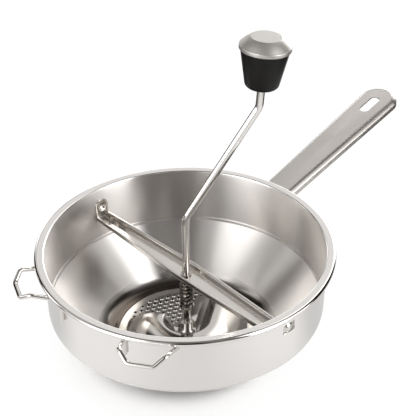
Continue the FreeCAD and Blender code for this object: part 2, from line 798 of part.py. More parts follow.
# ---------------------------------------------------------------- knob
def bulge(start, end, radius, side):
    """An arc for an outline: its radius, and its centre left (1) or right (-1) of the way along."""
    run = (float(end[0]) - float(start[0]), float(end[1]) - float(start[1]))
    chord = math.hypot(*run)
    away = side * math.sqrt(float(radius) ** 2 - chord ** 2 / 4) / chord
    middle = (float(start[0]) + run[0] / 2, float(start[1]) + run[1] / 2)
    return (radius, (middle[0] - run[1] * away, middle[1] + run[0] * away))


def make_knob():
    """Plastic grip with a pressed steel cap, which spins on the stem on a sleeve between rings."""
    sheet = S.cap_sheet
    sleeve_bottom = S.knob_bottom + S.sleeve_inset
    sleeve_top = sleeve_bottom + S.sleeve_length
    recess_bottom = S.grip_top - S.recess_depth
    mouth = S.ring_outer + S.face_gap * 6
    foot = (S.grip_bottom_radius - S.grip_round, S.knob_bottom)
    side = (S.grip_bottom_radius, S.knob_bottom + S.grip_round)
    brim = (S.cap_radius, S.grip_top + S.cap_brim)
    flat = (S.cap_flat_radius, S.cap_top)
    inner_brim = (brim[0] - sheet, brim[1] - sheet / 3)
    inner_flat = (flat[0] - sheet / 3, flat[1] - sheet)
    inner_round = S.cap_round - sheet
    grip = turned(
        "knob_grip",
        [
            (mouth, S.knob_bottom),
            foot,
            side,
            (inner_brim[0], S.grip_top - sheet),
            inner_brim,
            inner_flat,
            (S.recess_radius, inner_flat[1]),
            (S.recess_radius, recess_bottom),
            (S.sleeve_outer, recess_bottom),
            (S.sleeve_outer, sleeve_bottom),
            (mouth, sleeve_bottom),
        ],
        {1: (S.grip_round, (foot[0], side[1])), 4: bulge(inner_brim, inner_flat, inner_round, 1)},
    )
    cap = turned(
        "knob_cap",
        [
            (inner_brim[0], S.grip_top - sheet),
            (brim[0], S.grip_top - sheet),
            brim,
            flat,
            (as_size(0), flat[1]),
            (as_size(0), inner_flat[1]),
            inner_flat,
            inner_brim,
        ],
        {2: bulge(brim, flat, S.cap_round, 1), 6: bulge(inner_flat, inner_brim, inner_round, -1)},
    )
    sleeve = ring("knob_sleeve", bush_bore, S.sleeve_outer, sleeve_bottom, sleeve_top)
    stop_top = sleeve_bottom - S.face_gap
    stop = ring("knob_stop_ring", rod_radius, S.ring_outer, stop_top - S.ring_height, stop_top)
    washer_bottom = sleeve_top + S.face_gap
    washer_top = washer_bottom + S.washer_sheet
    washer = ring("knob_washer", rod_radius, S.ring_outer, washer_bottom, washer_top)
    lock = ring("knob_lock_ring", rod_radius, S.ring_outer, washer_top, washer_top + S.ring_height)
    for body in (grip, cap, sleeve, stop, washer, lock):
        body.Placement = knob_frame
        node(body, body.Label)


# ---------------------------------------------------------------- build, check, export
def check_document():
    """Stops if an object failed, or a piece is null, invalid or not solid."""
    for thing in doc.Objects:
        if "Invalid" in thing.State or "Error" in thing.State:
            raise RuntimeError(f"{thing.Label} failed: {thing.State}")
    for thing in NODES:
        shape = thing.Shape
        if shape.isNull() or not shape.isValid() or not shape.Solids:
            raise RuntimeError(f"{thing.Label} is not a valid solid")


def export_pieces():
    os.makedirs("parts", exist_ok=True)
    for thing in NODES:
        thing.Shape.exportStep(f"parts/{thing.Label}.step")
        box = thing.Shape.BoundBox
        print(f"{thing.Label:16s} solids {len(thing.Shape.Solids)} volume {thing.Shape.Volume:10.1f}",
              f"z {box.ZMin:7.2f} to {box.ZMax:7.2f}")


make_hopper_cone()
make_bowl_shell()
make_sieve_disc()
make_handle()
make_rest_hook("rest_hook_left", 1, float(S.left_leg_offset))
make_rest_hook("rest_hook_right", -1, float(S.right_leg_offset))
make_bridge_bar()
make_shaft_fittings()
make_crank_rod()
make_press_blade()
make_blade_hub()
make_knob()
doc.recompute()
check_document()
export_pieces()
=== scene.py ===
import math

import bpy
from mathutils import Matrix, Vector


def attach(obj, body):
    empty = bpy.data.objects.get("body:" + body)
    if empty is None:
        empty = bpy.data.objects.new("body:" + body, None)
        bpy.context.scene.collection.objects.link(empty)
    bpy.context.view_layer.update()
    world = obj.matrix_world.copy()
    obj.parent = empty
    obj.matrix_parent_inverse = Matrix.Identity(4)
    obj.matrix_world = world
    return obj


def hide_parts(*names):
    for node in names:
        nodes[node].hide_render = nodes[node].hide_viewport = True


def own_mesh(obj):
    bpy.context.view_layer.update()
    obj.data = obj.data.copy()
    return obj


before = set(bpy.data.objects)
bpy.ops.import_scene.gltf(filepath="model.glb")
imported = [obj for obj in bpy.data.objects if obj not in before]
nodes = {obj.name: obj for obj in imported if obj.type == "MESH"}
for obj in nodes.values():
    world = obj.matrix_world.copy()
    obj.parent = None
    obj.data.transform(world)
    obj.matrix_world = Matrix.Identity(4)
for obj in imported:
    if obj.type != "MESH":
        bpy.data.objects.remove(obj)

# Blender's start-up pieces go, and the frame's own stay.
for name in ("Cube", "Light", "Camera"):
    if name in bpy.data.objects:
        bpy.data.objects.remove(bpy.data.objects[name])
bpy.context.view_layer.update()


# ---------------------------------------------------------------- bowl wall
# The wall is one ring of 0.8 mm stainless sheet, drawn to a flat rim with a rolled bead and to a
# rounded lower corner, then buffed to a mirror. Two slots for the bridge are punched through it.
MM = 0.001
WALL_RADIUS, WALL_SHEET, RIM_TOP, RIM_BAND = 113.2, 0.8, 100.0, 8.2
WALL_INSIDE = WALL_RADIUS - WALL_SHEET
RIM_BEND, FLANGE_DIP, FLANGE_BEND, BEAD_BEND = 1.3, 0.25, 0.6, 0.5
BEAD_REACH, BEAD_RADIUS, BEAD_START, BEAD_TURN, BEAD_STEPS = 117.8, 2.2, 112, 264, 12
CORNER_RADIUS, CORNER_LEVEL = 7.8, 50.53
CONE_ANGLE = math.radians(42.6)
SLOT_LEVEL, SLOT_HALF_HEIGHT, SLOT_STEPS = 82.2, 4.4, 5
BRIDGE_ANGLE = math.radians(83.9)
WALL_STEPS = 288


def only(piece):
    """Leaves one piece selected and active, because an operator acts on all that is selected."""
    bpy.ops.object.select_all(action="DESELECT")
    piece.select_set(True)
    bpy.context.view_layer.objects.active = piece


def named(name):
    """Names the newest piece and its mesh, and puts its place into the mesh."""
    piece = bpy.context.object
    piece.name = piece.data.name = name
    only(piece)
    bpy.ops.object.transform_apply(location=True, rotation=True, scale=True)
    return piece


def eased(corners, closed=True):
    """Outline points from (x, y, radius) corners, with an arc in place of each corner."""
    count, points = len(corners), []
    for i, (x, y, radius) in enumerate(corners):
        here = Vector((x, y))
        if radius == 0 or (not closed and i in (0, count - 1)):
            points.append(here)
            continue
        back = (Vector(corners[i - 1][:2]) - here).normalized()
        ahead = (Vector(corners[(i + 1) % count][:2]) - here).normalized()
        half = back.angle(ahead) / 2
        run = radius / math.tan(half)
        centre = here + (back + ahead).normalized() * (radius / math.sin(half))
        start, end = here + back * run - centre, here + ahead * run - centre
        turn = start.angle(end)
        steps = max(2, round(turn / math.radians(15)))
        for k in range(steps + 1):
            share = k / steps
            spoke = start * math.sin((1 - share) * turn) + end * math.sin(share * turn)
            points.append(centre + spoke / math.sin(turn))
    return points


def drawn(name, points, place, closed):
    """A wire drawn vertex by vertex: place turns a point of the outline into metres."""
    bpy.ops.object.select_all(action="DESELECT")
    bpy.ops.mesh.primitive_plane_add(size=MM)
    bpy.ops.object.mode_set(mode="EDIT")
    bpy.ops.mesh.select_mode(type="VERT")
    bpy.ops.mesh.merge(type="CENTER")
    spots = [place(p) for p in points]
    bpy.ops.transform.translate(value=spots[0])
    for before, after in zip(spots, spots[1:] + spots[:closed]):
        bpy.ops.mesh.extrude_region_move(TRANSFORM_OT_translate={"value": after - before})
    bpy.ops.mesh.select_all(action="SELECT")
    bpy.ops.mesh.remove_doubles(threshold=MM / 1000)
    bpy.ops.object.mode_set(mode="OBJECT")
    return named(name)


def edit_all():
    """Enters edit mode with the whole mesh selected."""
    bpy.ops.object.mode_set(mode="EDIT")
    bpy.ops.mesh.select_all(action="SELECT")


def tidy_mesh():
    """In edit mode: merges doubles, turns all faces outwards, and goes back to object mode."""
    bpy.ops.mesh.select_all(action="SELECT")
    bpy.ops.mesh.remove_doubles(threshold=MM / 200)
    bpy.ops.mesh.normals_make_consistent(inside=False)
    bpy.ops.object.mode_set(mode="OBJECT")


def turned(name, points, steps=192, turn=0.0):
    """A piece spun on the upright axis from its closed outline of (radius, height)."""
    on_axis = points[0].x == 0 and points[-1].x == 0
    wire = drawn(name, points, lambda p: Vector((p.x, 0, p.y)) * MM, not on_axis)
    edit_all()
    if turn:
        bpy.ops.transform.rotate(value=-turn, orient_axis="Z", center_override=(0, 0, 0))
    bpy.ops.mesh.spin(steps=steps, angle=-2 * math.pi, center=(0, 0, 0), axis=(0, 0, 1))
    tidy_mesh()
    return wire


def colour(code):
    """A linear colour from an sRGB hex code."""
    parts = [int(code[i:i + 2], 16) / 255 for i in (1, 3, 5)]
    linear = [c / 12.92 if c <= 0.04045 else ((c + 0.055) / 1.055) ** 2.4 for c in parts]
    return (*linear, 1.0)


def add(tree, kind, inputs=(), **settings):
    """Adds a shader node with its settings, and sets or links its inputs."""
    made = tree.nodes.new("ShaderNode" + kind)
    for key, value in settings.items():
        setattr(made, key, value)
    for key, value in dict(inputs).items():
        if isinstance(value, bpy.types.NodeSocket):
            tree.links.new(value, made.inputs[key])
        else:
            made.inputs[key].default_value = value
    return made


def new_material(name, **surface):
    """A material with one Principled shader, and the shader's own constant settings."""
    material = bpy.data.materials.new(name)
    material.use_nodes = True
    shader = material.node_tree.nodes["Principled BSDF"]
    for key, value in surface.items():
        shader.inputs[key.replace("_", " ")].default_value = value
    return material, material.node_tree, shader


def place_of(tree):
    """Object coordinates in millimetres: the position, and its distance from the upright axis."""
    coordinates = add(tree, "TexCoord").outputs["Object"]
    scaled = add(tree, "VectorMath", {0: coordinates, 1: (1 / MM,) * 3}, operation="MULTIPLY")
    flat = add(tree, "VectorMath", {0: scaled.outputs[0], 1: (1, 1, 0)}, operation="MULTIPLY")
    reach = add(tree, "VectorMath", {0: flat.outputs[0]}, operation="LENGTH")
    return scaled.outputs[0], reach.outputs["Value"]


BUFF_CLOUDS, SATIN_CLOUDS = 24.0, 30.0


def buffed_steel(name, hex_code, smooth, cloudy, line_spacing, line_depth):
    """Stainless sheet or bar buffed on a wheel: a near mirror, clouded here and there, whose fine
    buffing lines run round the axis."""
    material, tree, shader = new_material(name, Metallic=1.0)
    place, reach = place_of(tree)
    level = add(tree, "SeparateXYZ", {0: place}).outputs["Z"]
    along = add(tree, "Math", {0: level, 1: reach}, operation="ADD")
    lines = add(tree, "TexNoise", {"W": along.outputs[0], "Scale": 1 / line_spacing, "Detail": 3.0},
                noise_dimensions="1D")
    clouds = add(tree, "TexNoise", {"Vector": place, "Scale": 1 / BUFF_CLOUDS, "Detail": 3.0,
                                    "Roughness": 0.6})
    tint = add(tree, "Mix", {"Factor": clouds.outputs["Fac"], 6: colour(hex_code[0]),
                             7: colour(hex_code[1])}, data_type="RGBA")
    tree.links.new(tint.outputs[2], shader.inputs["Base Color"])
    both = add(tree, "Math", {0: lines.outputs["Fac"], 1: clouds.outputs["Fac"]}, operation="MULTIPLY")
    wide = add(tree, "MapRange", {"Value": both.outputs[0], "From Min": 0.1, "From Max": 0.45,
                                  "To Min": smooth, "To Max": cloudy})
    tree.links.new(wide.outputs["Result"], shader.inputs["Roughness"])
    bump = add(tree, "Bump", {"Strength": 1.0, "Distance": line_depth * MM,
                              "Height": lines.outputs["Fac"]})
    tree.links.new(bump.outputs["Normal"], shader.inputs["Normal"])
    return material


def fit(piece, body, slot, material, *replaced, angle=30):
    """Shades a finished piece, gives it its material, and hands it to its CAD body."""
    only(piece)
    bpy.ops.object.shade_smooth_by_angle(angle=math.radians(angle))
    piece.data.materials.clear()
    piece.data.materials.append(material)
    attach(piece, body)
    if replaced:
        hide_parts(*replaced)
    return piece


def corner_arc(radius, first, last, steps=8):
    """The lower corner's arc between two shares of its turn, from the wall (0) to the slope (1)."""
    points = []
    for k in range(steps + 1):
        angle = (first + (last - first) * k / steps) * (math.pi / 2 - CONE_ANGLE)
        points.append(Vector((WALL_RADIUS - CORNER_RADIUS + radius * math.cos(angle),
                              CORNER_LEVEL - radius * math.sin(angle))))
    return points


slot_rows = [SLOT_LEVEL + SLOT_HALF_HEIGHT, SLOT_LEVEL - SLOT_HALF_HEIGHT]
bead_middle, flange_top = RIM_TOP - BEAD_RADIUS, RIM_TOP - FLANGE_DIP
outline = eased([
    (WALL_INSIDE, RIM_TOP - RIM_BAND, 0),
    (WALL_INSIDE, flange_top, RIM_BEND),
    (BEAD_REACH - BEAD_RADIUS * 0.9, flange_top, 0),
], closed=False)
for k in range(BEAD_STEPS + 1):
    angle = math.radians(BEAD_START - BEAD_TURN * k / BEAD_STEPS)
    spoke = Vector((math.cos(angle), math.sin(angle)))
    outline.append(Vector((BEAD_REACH, bead_middle)) + spoke * BEAD_RADIUS)
outline += eased([
    (BEAD_REACH - BEAD_RADIUS, bead_middle, 0),
    (BEAD_REACH - BEAD_RADIUS, flange_top - WALL_SHEET, BEAD_BEND),
    (WALL_RADIUS, flange_top - WALL_SHEET, FLANGE_BEND),
    (WALL_RADIUS, slot_rows[0], 0),
    (WALL_RADIUS, slot_rows[1], 0),
], closed=False)
outline += corner_arc(CORNER_RADIUS, 0, 1) + corner_arc(CORNER_RADIUS - WALL_SHEET, 1, 0)
outline += [Vector((WALL_INSIDE, level)) for level in slot_rows[::-1]]
step_angle = 2 * math.pi / WALL_STEPS
bowl = turned("bowl_wall", outline, WALL_STEPS, BRIDGE_ANGLE - step_angle * SLOT_STEPS / 2)

# Each slot takes five columns of faces out of both skins, and the hole's edges are bridged.
for side in (0, math.pi):
    only(bowl)
    bpy.ops.object.mode_set(mode="EDIT")
    bpy.ops.mesh.select_all(action="DESELECT")
    bpy.ops.mesh.select_mode(type="FACE")
    bpy.ops.object.mode_set(mode="OBJECT")
    for face in bowl.data.polygons:
        middle = face.center / MM
        around = math.atan2(middle.y, middle.x) - BRIDGE_ANGLE - side
        near = abs(math.remainder(around, 2 * math.pi)) < step_angle * SLOT_STEPS / 2
        upright = math.hypot(middle.x, middle.y) > WALL_INSIDE - 1 and abs(face.normal.z) < 0.1
        face.select = near and upright and slot_rows[1] < middle.z < slot_rows[0]
    bpy.ops.object.mode_set(mode="EDIT")
    bpy.ops.mesh.delete(type="FACE")
    bpy.ops.mesh.select_mode(type="EDGE")
    bpy.ops.mesh.select_all(action="DESELECT")
    bpy.ops.mesh.select_non_manifold(extend=False)
    bpy.ops.mesh.bridge_edge_loops()
    bpy.ops.object.mode_set(mode="OBJECT")


def spun_steel(name, hex_code, brushed, buffed, edge, softness, painted_shade=""):
    """Stainless sheet turned on a lathe: brushed rings, which smear each reflection upright, on one
    side of the edge radius, and a buffed mirror on the other."""
    material, tree, shader = new_material(name, Metallic=1.0, Anisotropic=1.0,
                                          Anisotropic_Rotation=0.25, Base_Color=colour(hex_code))
    place, reach = place_of(tree)
    finish = add(tree, "MapRange", {"Value": reach, "From Min": edge - softness, "From Max": edge + softness,
                                    "To Min": brushed, "To Max": buffed})
    tree.links.new(finish.outputs["Result"], shader.inputs["Roughness"])
    # Painted shade: inside the edge radius the colour fades to a darker one.
    if painted_shade:
        tint = add(tree, "MapRange", {"Value": reach, "From Min": edge - 6, "From Max": edge + softness})
        shade = add(tree, "Mix", {"Factor": tint.outputs["Result"], 6: colour(painted_shade), 7: colour(hex_code)},
                    data_type="RGBA")
        tree.links.new(shade.outputs[2], shader.inputs["Base Color"])
    lay = add(tree, "Tangent", direction_type="RADIAL", axis="Z")
    tree.links.new(lay.outputs[0], shader.inputs["Tangent"])
    return material


# Spun 18/10 stainless: brushed rings inside, a clear and slightly warm mirror outside.
BRIGHT_STEEL = ("#E9E6E3", "#DFDBD6")
mid_sheet = (WALL_RADIUS + WALL_INSIDE) / 2
wall_steel = spun_steel("spun_stainless_sheet", BRIGHT_STEEL[0], 0.28, 0.08, mid_sheet, 0.1)
fit(bowl, "bowl", "polished_steel", wall_steel, "bowl_shell")


# ---------------------------------------------------------------- cone
# A second pressing of 1 mm sheet is welded inside the wall. It slopes to the disc's seat, and its
# short collar and turned-in foot stand on the table. Turning left a satin finish on its slope.
FOLD, CONE_SHEET, SKIRT = (111.4, 47.9), 1.0, 2.8
SEAT_ARC, SEAT_FILLET, SEAT_TOP, SATIN_END = (61.2, 26.2), 18.0, 8.2, 74.0
RECESS, COLLAR, DISC_SHEET, FOOT = 58.9, 55.0, 0.8, 3.0


def seat_curve(radius, first, last, steps=14):
    """The fillet between slope and seat, between two shares of its turn (1 at the slope)."""
    points = []
    for k in range(steps + 1):
        angle = (first + (last - first) * k / steps) * CONE_ANGLE
        points.append(Vector(SEAT_ARC) + Vector((math.sin(angle), -math.cos(angle))) * radius)
    return points


under = SEAT_TOP - DISC_SHEET - CONE_SHEET
slope_outside = seat_curve(SEAT_FILLET + CONE_SHEET, 0, 1)
slope_inside = seat_curve(SEAT_FILLET, 1, 0)
outline = eased([
    (COLLAR - FOOT, CONE_SHEET, 0.3),
    (COLLAR - FOOT, 0, 0.3),
    (COLLAR, 0, 1.2),
    (COLLAR, under, 0.4),
    (RECESS + CONE_SHEET, under, 0.8),
    (RECESS + CONE_SHEET, SEAT_TOP - CONE_SHEET, 0.3),
    (slope_outside[0].x, slope_outside[0].y, 0),
], closed=False)[1:]
outline += slope_outside[1:] + corner_arc(CORNER_RADIUS - WALL_SHEET, 1, 0)
outline += eased([
    (WALL_INSIDE, CORNER_LEVEL, 0),
    (WALL_INSIDE, FOLD[1] + SKIRT, 0),
    (FOLD[0], FOLD[1] + SKIRT, 0.3),
    (FOLD[0], FOLD[1], 0.5),
    (slope_inside[0].x, slope_inside[0].y, 0),
], closed=False)[1:-1]
outline += slope_inside
outline += eased([
    (slope_inside[-1].x, SEAT_TOP, 0),
    (RECESS, SEAT_TOP, 0.3),
    (RECESS, SEAT_TOP - DISC_SHEET, 0.1),
    (COLLAR - CONE_SHEET, SEAT_TOP - DISC_SHEET, 0.4),
    (COLLAR - CONE_SHEET, CONE_SHEET, 0.4),
    (COLLAR - FOOT, CONE_SHEET, 0),
], closed=False)[1:]
cone = turned("cone", outline, 240)


def satin_steel(name, hex_code, rough, anisotropy, axis, streak_spacing, streak_depth):
    """Stainless worked by an abrasive belt or a lathe: soft reflections that spread across the
    fine grooves. axis names the coordinate that the grooves keep to."""
    material, tree, shader = new_material(name, Metallic=1.0, Anisotropic=anisotropy)
    place, reach = place_of(tree)
    parts = add(tree, "SeparateXYZ", {0: place})
    across = reach if axis == "ROUND" else parts.outputs[axis]
    grooves = add(tree, "TexNoise", {"W": across, "Scale": 1 / streak_spacing, "Detail": 4.0,
                                     "Roughness": 0.7}, noise_dimensions="1D")
    clouds = add(tree, "TexNoise", {"Vector": place, "Scale": 1 / SATIN_CLOUDS, "Detail": 2.0})
    tint = add(tree, "Mix", {"Factor": clouds.outputs["Fac"], 6: colour(hex_code[0]),
                             7: colour(hex_code[1])}, data_type="RGBA")
    tree.links.new(tint.outputs[2], shader.inputs["Base Color"])
    wide = add(tree, "MapRange", {"Value": grooves.outputs["Fac"], "From Min": 0.3, "From Max": 0.7,
                                  "To Min": rough * 0.85, "To Max": rough * 1.15})
    tree.links.new(wide.outputs["Result"], shader.inputs["Roughness"])
    bump = add(tree, "Bump", {"Strength": 1.0, "Distance": streak_depth * MM,
                              "Height": grooves.outputs["Fac"]})
    tree.links.new(bump.outputs["Normal"], shader.inputs["Normal"])
    if axis == "ROUND":
        lay = add(tree, "Tangent", direction_type="RADIAL", axis="Z")
        tree.links.new(lay.outputs[0], shader.inputs["Tangent"])
    return material


# The same brushed rings on the slope, so that light fans out down it. The smooth fillet round the
# seat is painted dark brown, as painted shade and dark reflection there.
cone_steel = spun_steel("spun_stainless_slope", BRIGHT_STEEL[0], 0.12, 0.3, SATIN_END, 2.5, painted_shade="#57504A")
fit(cone, "bowl", "satin_steel", cone_steel, "hopper_cone")


# ---------------------------------------------------------------- sieve disc
# A loose flat disc of 0.8 mm sheet with punched holes. Each punch pushed up a small ragged lip,
# which grates the food under the blade.
HOLE, PITCH, FIELD, CLEAR, LATTICE_TURN = 1.25, 5.6, 51.6, 7.5, math.radians(-27.3)
LIP_SINK, LIP_SIDES, LIP_TURNS = 0.1, 12, (1.3, 2.1)
LIP_RINGS = [(1.38, 0.36), (1.56, 0.40), (1.98, 0.0)]


def punched_steel(name, hex_code, rough, hole_shade_code, steepest, field_shade=0.0):
    """Punched stainless sheet: satin faces, painted darker over the field of holes as shade, and walls
    of the holes that the punch tore, painted near black as the shade inside them."""
    material = satin_steel(name, hex_code, rough, 0.0, "X", 0.8, 0.004)
    tree = material.node_tree
    shader = tree.nodes["Principled BSDF"]
    # Painted shade: the steep walls of the holes take a near-black colour.
    upright = add(tree, "SeparateXYZ", {0: add(tree, "TexCoord").outputs["Normal"]}).outputs["Z"]
    tilt = add(tree, "Math", {0: upright}, operation="ABSOLUTE")
    wall = add(tree, "MapRange", {"Value": tilt.outputs[0], "From Min": steepest,
                                  "From Max": steepest + 0.1, "To Min": 1.0, "To Max": 0.0})
    face = shader.inputs["Base Color"].links[0].from_socket
    # Painted shade: inside the field of holes the colour is multiplied darker.
    if field_shade:
        _, reach = place_of(tree)
        field_shade_level = add(tree, "MapRange", {"Value": reach, "From Min": FIELD, "From Max": FIELD + 2,
                                      "To Min": field_shade})
        face = add(tree, "Mix", {"Factor": 1.0, 6: face, 7: field_shade_level.outputs["Result"]}, data_type="RGBA",
                   blend_type="MULTIPLY").outputs[2]
    both = add(tree, "Mix", {"Factor": wall.outputs["Result"], 6: face, 7: colour(hole_shade_code)},
               data_type="RGBA")
    tree.links.new(both.outputs[2], shader.inputs["Base Color"])
    return material


# The disc's hole walls are painted near black and its field of holes painted darker, as shade.
disc_steel = punched_steel("punched_stainless_sheet", ("#E4E0DA", "#D9D4CC"), 0.24, "#100E0C", 0.3,
                           field_shade=0.55)
nodes["sieve_disc"].data.materials.clear()
nodes["sieve_disc"].data.materials.append(disc_steel)


def pull_edges(way):
    """In edit mode: extrudes the selected edges by a vector in metres."""
    bpy.ops.mesh.extrude_edges_move(TRANSFORM_OT_translate={"value": way})


bpy.ops.object.select_all(action="DESELECT")
bpy.ops.mesh.primitive_circle_add(vertices=LIP_SIDES, radius=HOLE * MM,
                                  location=(0, 0, (SEAT_TOP - LIP_SINK) * MM))
lip = named("hole_lip")
edit_all()
here = (HOLE, -LIP_SINK)
for radius, rise in LIP_RINGS:
    pull_edges((0, 0, (rise - here[1]) * MM))
    grow = radius / here[0]
    bpy.ops.transform.resize(value=(grow, grow, 1), center_override=(0, 0, 0))
    here = (radius, rise)
tidy_mesh()

lips = []
rows = int(FIELD / PITCH) + 4
for row in range(-rows, rows + 1):
    for step in range(-rows, rows + 1):
        spot = Vector((PITCH * (step + row / 2), PITCH * row * math.sqrt(3) / 2, 0))
        if CLEAR < spot.length < FIELD:
            copy = lip.copy()
            copy.data = lip.data.copy()
            spin = Matrix.Rotation(row * LIP_TURNS[0] + step * LIP_TURNS[1], 4, "Z")
            spot = Matrix.Rotation(LATTICE_TURN, 3, "Z") @ spot
            copy.data.transform(Matrix.Translation(spot * MM) @ spin)
            bpy.context.collection.objects.link(copy)
            lips.append(copy)
bpy.data.objects.remove(lip)
bpy.ops.object.select_all(action="DESELECT")
for copy in lips:
    copy.select_set(True)
bpy.context.view_layer.objects.active = lips[0]
bpy.ops.object.join()
burrs = named("sieve_lips")
# The lips' steep inner walls are painted near black as shade.
burr_steel = punched_steel("torn_stainless_edge", ("#E6E3DF", "#DAD6D0"), 0.16, "#1A1714", 0.36)
fit(burrs, "bowl", "disc_steel", burr_steel, angle=50)


# ---------------------------------------------------------------- handle
# The handle is a long tapered channel pressed from 1.2 mm strip and belt-ground along its length.
# It is welded to a curved saddle plate, which spreads its load on the bowl's wall.
def merged_copy(name, node):
    """A copy of a CAD node's mesh with its loose triangles merged, so that it can shade smoothly."""
    piece = nodes[node].copy()
    piece.data = nodes[node].data.copy()
    piece.name = piece.data.name = name
    for key in [k for k in piece.keys() if k.startswith("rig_")]:
        del piece[key]
    piece.parent = None
    bpy.context.collection.objects.link(piece)
    only(piece)
    edit_all()
    bpy.ops.mesh.remove_doubles(threshold=MM / 1000)
    bpy.ops.object.mode_set(mode="OBJECT")
    return piece


# Belt-ground strip: fine grooves along the handle, which spread each reflection across it.
handle_steel = satin_steel("belt_ground_stainless_strip", ("#CFCBC7", "#C7C2BD"), 0.3, 0.3, "Y", 0.6, 0.001)
saddle = merged_copy("saddle", "handle_saddle")
fit(saddle, "bowl", "handle_steel", handle_steel, "handle_saddle", angle=25)


def apply_modifier(piece, kind, **settings):
    """Adds a modifier with its settings, and applies it."""
    only(piece)
    made = piece.modifiers.new(kind.lower(), kind)
    for key, value in settings.items():
        setattr(made, key, value)
    bpy.ops.object.modifier_apply(modifier=made.name)


def soften(piece, width, steepest=50):
    """Rounds every edge of a piece that turns by more than an angle in degrees."""
    apply_modifier(piece, "BEVEL", width=width * MM, segments=2, limit_method="ANGLE",
                   angle_limit=math.radians(steepest))


def cut_away(piece, cutter):
    """Takes the cutter's shape out of a piece, and throws the cutter away."""
    apply_modifier(piece, "BOOLEAN", object=cutter, operation="DIFFERENCE", solver="EXACT")
    bpy.data.objects.remove(cutter)


# Half of the channel's section, from the crease in its top to its lower edge, as (inwards, height).
HANDLE_HALF = [(4.75, 0.0), (4.25, -0.4), (3.75, -0.3), (2.7, -0.85), (1.75, -1.6), (1.0, -2.5),
               (0.45, -3.5), (0.12, -4.5), (0.1, -4.95), (0.55, -5.15), (0.55, -5.35), (0.05, -5.6),
               (0.05, -8.1)]
HANDLE_ROOT, ROOT_SINK, HANDLE_REACH, HANDLE_TOP = 114.7, 2.2, 304.8, 93.5
ROOT_HALF, TIP_HALF, STRIP_SHEET, HANDLE_TILT = 14.15, 18.7, 1.2, math.radians(10)
NOTCH_RUN, NOTCH_RISE, NOTCH_BLOCK = 11.0, 2.85, Vector((40.0, 100.0, 10.0))
HANG_SLOT, HANG_WIDTH, HANG_MARGIN, HANG_SIDES = 27.4, 9.5, 19.0, 48

grow = (TIP_HALF - ROOT_HALF) / (HANDLE_REACH - TIP_HALF - WALL_RADIUS)
taper = math.atan(grow)
lean = math.cos(taper)
tip_centre = (HANDLE_REACH - lean * (ROOT_HALF - grow * WALL_RADIUS)) / (1 + grow * lean)
tip_radius = HANDLE_REACH - tip_centre
root = HANDLE_ROOT - ROOT_SINK
begin = Vector((root, ROOT_HALF + grow * (root - WALL_RADIUS), 0))
turning = Vector((tip_centre - tip_radius * math.sin(taper), tip_radius * math.cos(taper), 0))
inwards = Vector((math.sin(taper), -math.cos(taper), 0))
handle = drawn("handle", [Vector(p) for p in HANDLE_HALF],
               lambda p: (begin + inwards * p.x + Vector((0, 0, p.y))) * MM, False)
edit_all()
side_run = (turning - begin) * MM
pull_edges(side_run)
bpy.ops.mesh.spin(steps=48, angle=math.pi + 2 * taper, center=(tip_centre * MM, 0, 0), axis=(0, 0, 1))
side_run.x = -side_run.x
pull_edges(side_run)
bpy.ops.mesh.select_all(action="SELECT")
bpy.ops.mesh.remove_doubles(threshold=MM / 200)
bpy.ops.mesh.select_all(action="DESELECT")
bpy.ops.object.mode_set(mode="OBJECT")
for edge in handle.data.edges:
    ends = [handle.data.vertices[i].co for i in edge.vertices]
    edge.select = all(e.z > -0.01 * MM for e in ends)
bpy.ops.object.mode_set(mode="EDIT")
bpy.ops.mesh.select_mode(type="EDGE")
bpy.ops.mesh.edge_face_add()
tidy_mesh()
apply_modifier(handle, "SOLIDIFY", thickness=STRIP_SHEET * MM, offset=-1.0, use_even_offset=True)

bpy.ops.object.select_all(action="DESELECT")
slot_end = HANDLE_REACH - HANG_MARGIN - HANG_WIDTH / 2
bpy.ops.mesh.primitive_cylinder_add(vertices=HANG_SIDES, radius=HANG_WIDTH / 2 * MM, depth=20 * MM,
                                    location=(slot_end * MM, 0, 0), rotation=(0, 0, math.pi / HANG_SIDES))
punch = named("slot_punch")
for vertex in punch.data.vertices:
    if vertex.co.x < slot_end * MM:
        vertex.co.x -= (HANG_SLOT - HANG_WIDTH) * MM
cut_away(handle, punch)
notch_corner = Vector((HANDLE_REACH - NOTCH_RUN, 0, HANDLE_HALF[-1][1] + NOTCH_RISE))
notch_middle = notch_corner + Vector((NOTCH_BLOCK.x, 0, -NOTCH_BLOCK.z)) / 2
bpy.ops.mesh.primitive_cube_add(size=1, location=notch_middle * MM, scale=NOTCH_BLOCK * MM)
cut_away(handle, bpy.context.object)
tilt = Matrix.Rotation(-HANDLE_TILT, 4, "Y") @ Matrix.Translation((-HANDLE_ROOT * MM, 0, 0))
handle.data.transform(Matrix.Translation((HANDLE_ROOT * MM, 0, HANDLE_TOP * MM)) @ tilt)
soften(handle, 0.18, 60)
fit(handle, "bowl", "handle_steel", handle_steel, "pan_handle", angle=22)


# ---------------------------------------------------------------- pot rests
# Two loops of 3.5 mm wire rest on a pot's rim. Each is bent cold in a jig, and one leg and the
# other end are resistance-welded to the wall.
WIRE, REST_DROP, REST_RISE, REST_LEG = 3.5, 8.0, 5.8, 13.0
WELD_SINK, WELD_FACE = 0.3, 0.15
REST_HALF, SHOULDER, SHOULDER_BEND, NOSE, NOSE_BEND = 20.8, (17.0, 16.4), 4.0, (9.5, 23.0), 5.0
REST_MIDDLE, REST_SPREAD = 180.7, 28.0


